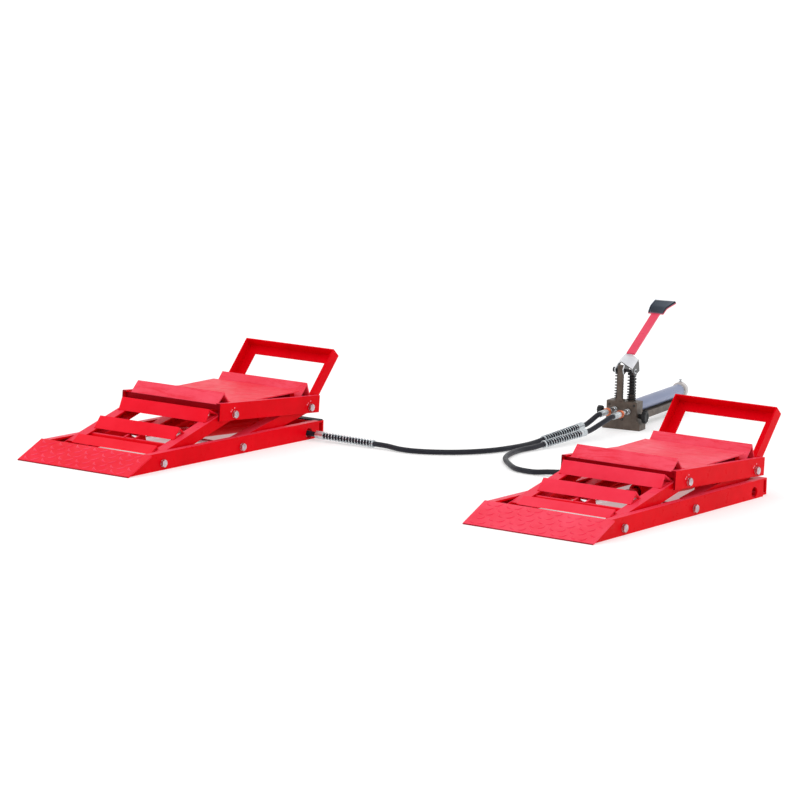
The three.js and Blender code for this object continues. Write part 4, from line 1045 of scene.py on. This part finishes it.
def tank():
    """Drawn tube with rolled beads round it by its ends."""
    tube = Solid().lathe(TANK_PLACE, outline(TANK_TUBE), sides=72)
    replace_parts(tube.make("tank_tube", "tank", "base", "tank_paint"), "pump_tank")
    bands = Solid()
    for along in TANK_BANDS:
        profile = banded(along, along + BAND_WIDTH, BAND_BORE, BAND_RADIUS, **BAND_RIM)
        bands.lathe(TANK_PLACE, profile, sides=48)
    bands.make("tank_bands", "zinc", "base", "bright_steel")


PLUG_SCREWS = ((-0.038, 0.070, 0.0035), (0.038, 0.072, 0.0035), (0.002, 0.030, 0.0045))  # x, z, radius
PLUG_OUTLINE = (  # along in metres, share of the radius
    (-0.0008, 1.0), (0.0003, 1.0), (0.0008, 0.9), (0.0009, 0.5), (-0.0004, 0.45), (-0.0005, 0.05),
)
GLAND = (0.1005, 0.1028)
GLAND_BORE = 0.0079
GLAND_RADIUS = 0.0093
GLAND_RIM = {"rim": 0.0005, "lead": 0.0007, "tail": 0.0006}


def block_details():
    """Plug screws on the block's front, and gland nuts round the plungers."""
    solid = Solid()
    front = PUMP_PLACE @ turned("X", 90)
    for x, z, radius in PLUG_SCREWS:
        profile = [(along, share * radius) for along, share in PLUG_OUTLINE]
        solid.lathe(front @ Matrix.Translation((x, z, 0)), profile, sides=24)
    for x in PLUNGERS.values():
        seat = PUMP_PLACE @ Matrix.Translation((x, PLUNGER_Y, 0))
        solid.lathe(seat, banded(*GLAND, GLAND_BORE, GLAND_RADIUS, **GLAND_RIM), sides=32)
    solid.make("block_screws", "black_steel", "base", "black_steel")


PAD_CENTRE = 0.0055
PAD_NEAR = (0.257, 0.0334)  # along the lever and above its pivot
PAD_SLOPES = ((0.024, 34 - LEVER_SLOPE, 5), (0.057, 12 - LEVER_SLOPE, 11))  # length, degrees, rows
PAD_HALVES = (0.0237, 0.0337)
PAD_THICKNESS = 0.0075
PAD_GROOVE = 0.0064
PAD_RIM = 0.0008
PAD_RIBS = 8
RIB_COLUMNS = 6
PAD_SMOOTH_DEGREES = 35.0


def pad_rows():
    """Points along the pad's two slopes, each with half the pad's width there."""
    spots = [Vector(PAD_NEAR)]
    for length, degrees, count in PAD_SLOPES:
        start = spots[-1]
        slope = math.radians(degrees)
        end = start + length * Vector((math.cos(slope), math.sin(slope)))
        spots += [start.lerp(end, (i + 1) / count) for i in range(count)]
    near, far = spots[0].x, spots[-1].x
    low, high = PAD_HALVES
    return [(spot, low + (high - low) * (spot.x - near) / (far - near)) for spot in spots]


def pedal_pad():
    """Rubber pad over the pedal's two slopes, with sharp ribs that run along it, and painted shade on all
    but the faces by the ribs' crests.
    """
    rows = pad_rows()
    columns = PAD_RIBS * RIB_COLUMNS
    width = columns + 1
    vertices, faces = [], []
    for i, (spot, half) in enumerate(rows):
        rim = PAD_RIM if i in (0, len(rows) - 1) else 0.0
        for j in range(width):
            across = 2 * j / columns - 1
            ridge = 1 - abs(2 * (j % RIB_COLUMNS) / RIB_COLUMNS - 1)
            height = -PAD_GROOVE * (1 - ridge) - rim
            vertices.append(PEDAL_PLACE @ Vector((PAD_CENTRE + across * half, spot.x, spot.y + height)))
    for spot, half in rows:
        for across in (-half, half):
            vertices.append(PEDAL_PLACE @ Vector((PAD_CENTRE + across, spot.x, spot.y - PAD_THICKNESS)))
    top = len(rows) * width
    groove_shaded = []
    for i in range(len(rows) - 1):
        for j in range(columns):
            low = i * width + j
            # Painted shade: all but the two faces by each rib's crest take the near-black groove look.
            groove_shaded.append(abs(j % RIB_COLUMNS - (RIB_COLUMNS - 1) / 2) > 1)
            faces.append((low, low + 1, low + width + 1, low + width))
        under = top + 2 * i
        faces.append((under, under + 2, under + 3, under + 1))
        faces.append((i * width, (i + 1) * width, under + 2, under))
        faces.append((i * width + columns, under + 1, under + 3, (i + 1) * width + columns))
        groove_shaded += [False] * 3
    faces.append((*range(width), top + 1, top))
    last = top - width
    faces.append((*range(last, top), len(vertices) - 1, len(vertices) - 2))
    made = piece(
        "pedal_pad_ribbed", vertices, faces, "pad", "pump_pedal", PAD_SMOOTH_DEGREES,
    )
    made.data.materials.append(LOOKS["groove"])
    for face, dark in zip(made.data.polygons, groove_shaded):
        face.material_index = 1 if dark else 0
    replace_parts(made, "pump_pedal_pad")


EAR_OUTSIDES = (-0.0247, 0.0372)
EAR_RIM = ((-0.4, 4.3), (-0.4, 7.6), (0.4, 7.4), (0.7, 6.6), (0.7, 4.3))
LEVER_BEAD = ((-0.006, 0.0518, 0.0196), (0.011, 0.0518, 0.0196))
LEVER_BEAD_RADIUS = 0.0014
TOPWARD = 0.45
SIDEWARD = 0.5


def head_faces():
    """The head is one metal painted in three tones by which way a face looks: its top plate pale as painted
    light, its ears' sides dark as painted shade, and their cut edges bright as a painted highlight.
    """
    head = nodes["pump_pedal_head"]
    dress(head, "head", "ear", "zinc")
    across, up = PEDAL_PLACE.col[0].to_3d(), PEDAL_PLACE.col[2].to_3d()
    for face in head.data.polygons:
        if face.normal.dot(up) > TOPWARD:
            face.material_index = 0
        else:
            face.material_index = 1 if abs(face.normal.dot(across)) > SIDEWARD else 2


def head_rims():
    """Bright rims round the pin's holes in the ears, a painted highlight on the ears' edges, and the weld at
    the lever's foot.
    """
    rims = Solid()
    for x in EAR_OUTSIDES:
        out = PEDAL_PLACE.to_3x3() @ Vector((math.copysign(1, x), 0, 0))
        rims.lathe(along_axis(PEDAL_PLACE @ Vector((x, 0, 0)), out), outline(EAR_RIM), sides=32)
    rims.make("head_rims", "zinc", "pump_pedal", "bright_steel")
    bead = Solid()
    weld_bead(bead, PEDAL_PLACE, *LEVER_BEAD, LEVER_BEAD_RADIUS)
    bead.make("lever_weld", "head", "pump_pedal", "pale_paint")


for side, x in PLUNGERS.items():
    return_spring(side, x)
for side, (x, z) in COUPLERS.items():
    coupler(side, x, z)
for side, sizes in KNOBS.items():
    knob(side, **sizes)
tank_cap()
tank()
block_details()
pedal_pad()
head_faces()
head_rims()


# Floor, light and world

FLOOR_REACH = 40.0
FLOOR_Z = -0.0003
FLOOR_GREY = (0.72, 0.72, 0.72, 1.0)
FLOOR_GLOW = 0.34
SCREEN_GREY = (0.05, 0.05, 0.05, 1.0)
SCREEN = {"direction": (0.57, -0.82, 0), "distance": 15.0, "width": 40.0, "height": 7.0}
MATT = 0.9
WHITE = (1.0, 1.0, 1.0, 1.0)
WORLD_STRENGTH = 0.97
SUNS = {  # where it stands, strength, softness in degrees
    "key": ((0.9, -1.1, 1.3), 0.6, 45.0),
    "fill": ((-1.0, -0.5, 0.9), 0.2, 60.0),
}


def stage_sheet(name, corners):
    mesh = bpy.data.meshes.new(name)
    mesh.from_pydata([tuple(corner) for corner in corners], [], [(0, 1, 2, 3)])
    return place_object(name, mesh)


def floor():
    signs = ((-1, -1), (1, -1), (1, 1), (-1, 1))
    made = stage_sheet("floor", [(x * FLOOR_REACH, y * FLOOR_REACH, 0) for x, y in signs])
    made.location.z = FLOOR_Z
    shader = Shader("pale_floor")
    shader.set(Base_Color=FLOOR_GREY, Roughness=MATT, Specular_IOR_Level=0.1)
    shader.set(Emission_Color=WHITE, Emission_Strength=FLOOR_GLOW)
    made.data.materials.append(shader.material)


def dark_screen(name, direction, distance, width, height):
    """An upright dark screen behind the camera, which no view shows, shades the sides that face it."""
    facing = -Vector(direction)
    place = along_axis(Vector(direction).normalized() * distance, facing)
    corners = ((0, -width / 2), (0, width / 2), (height, width / 2), (height, -width / 2))
    made = stage_sheet(name, [place @ Vector((z, x, 0)) for z, x in corners])
    made.visible_camera = False
    shader = Shader(name)
    shader.set(Base_Color=SCREEN_GREY, Roughness=MATT, Specular_IOR_Level=0.0)
    made.data.materials.append(shader.material)


def sun(name, from_place, strength, softness):
    """A broad soft light without falloff, so that the floor stays even."""
    data = bpy.data.lights.new(name, "SUN")
    data.energy = strength
    data.angle = math.radians(softness)
    light = place_object(name, data)
    light.rotation_mode = "QUATERNION"
    light.rotation_quaternion = (-Vector(from_place)).to_track_quat("-Z", "Y")


def studio():
    world = bpy.data.worlds.new("studio")
    world.use_nodes = True
    background = world.node_tree.nodes["Background"]
    background.inputs["Color"].default_value = WHITE
    background.inputs["Strength"].default_value = WORLD_STRENGTH
    bpy.context.scene.world = world
    bpy.context.scene.view_settings.view_transform = "Standard"
    for name, values in SUNS.items():
        sun(name, *values)


floor()
dark_screen("camera_side_screen", **SCREEN)
studio()
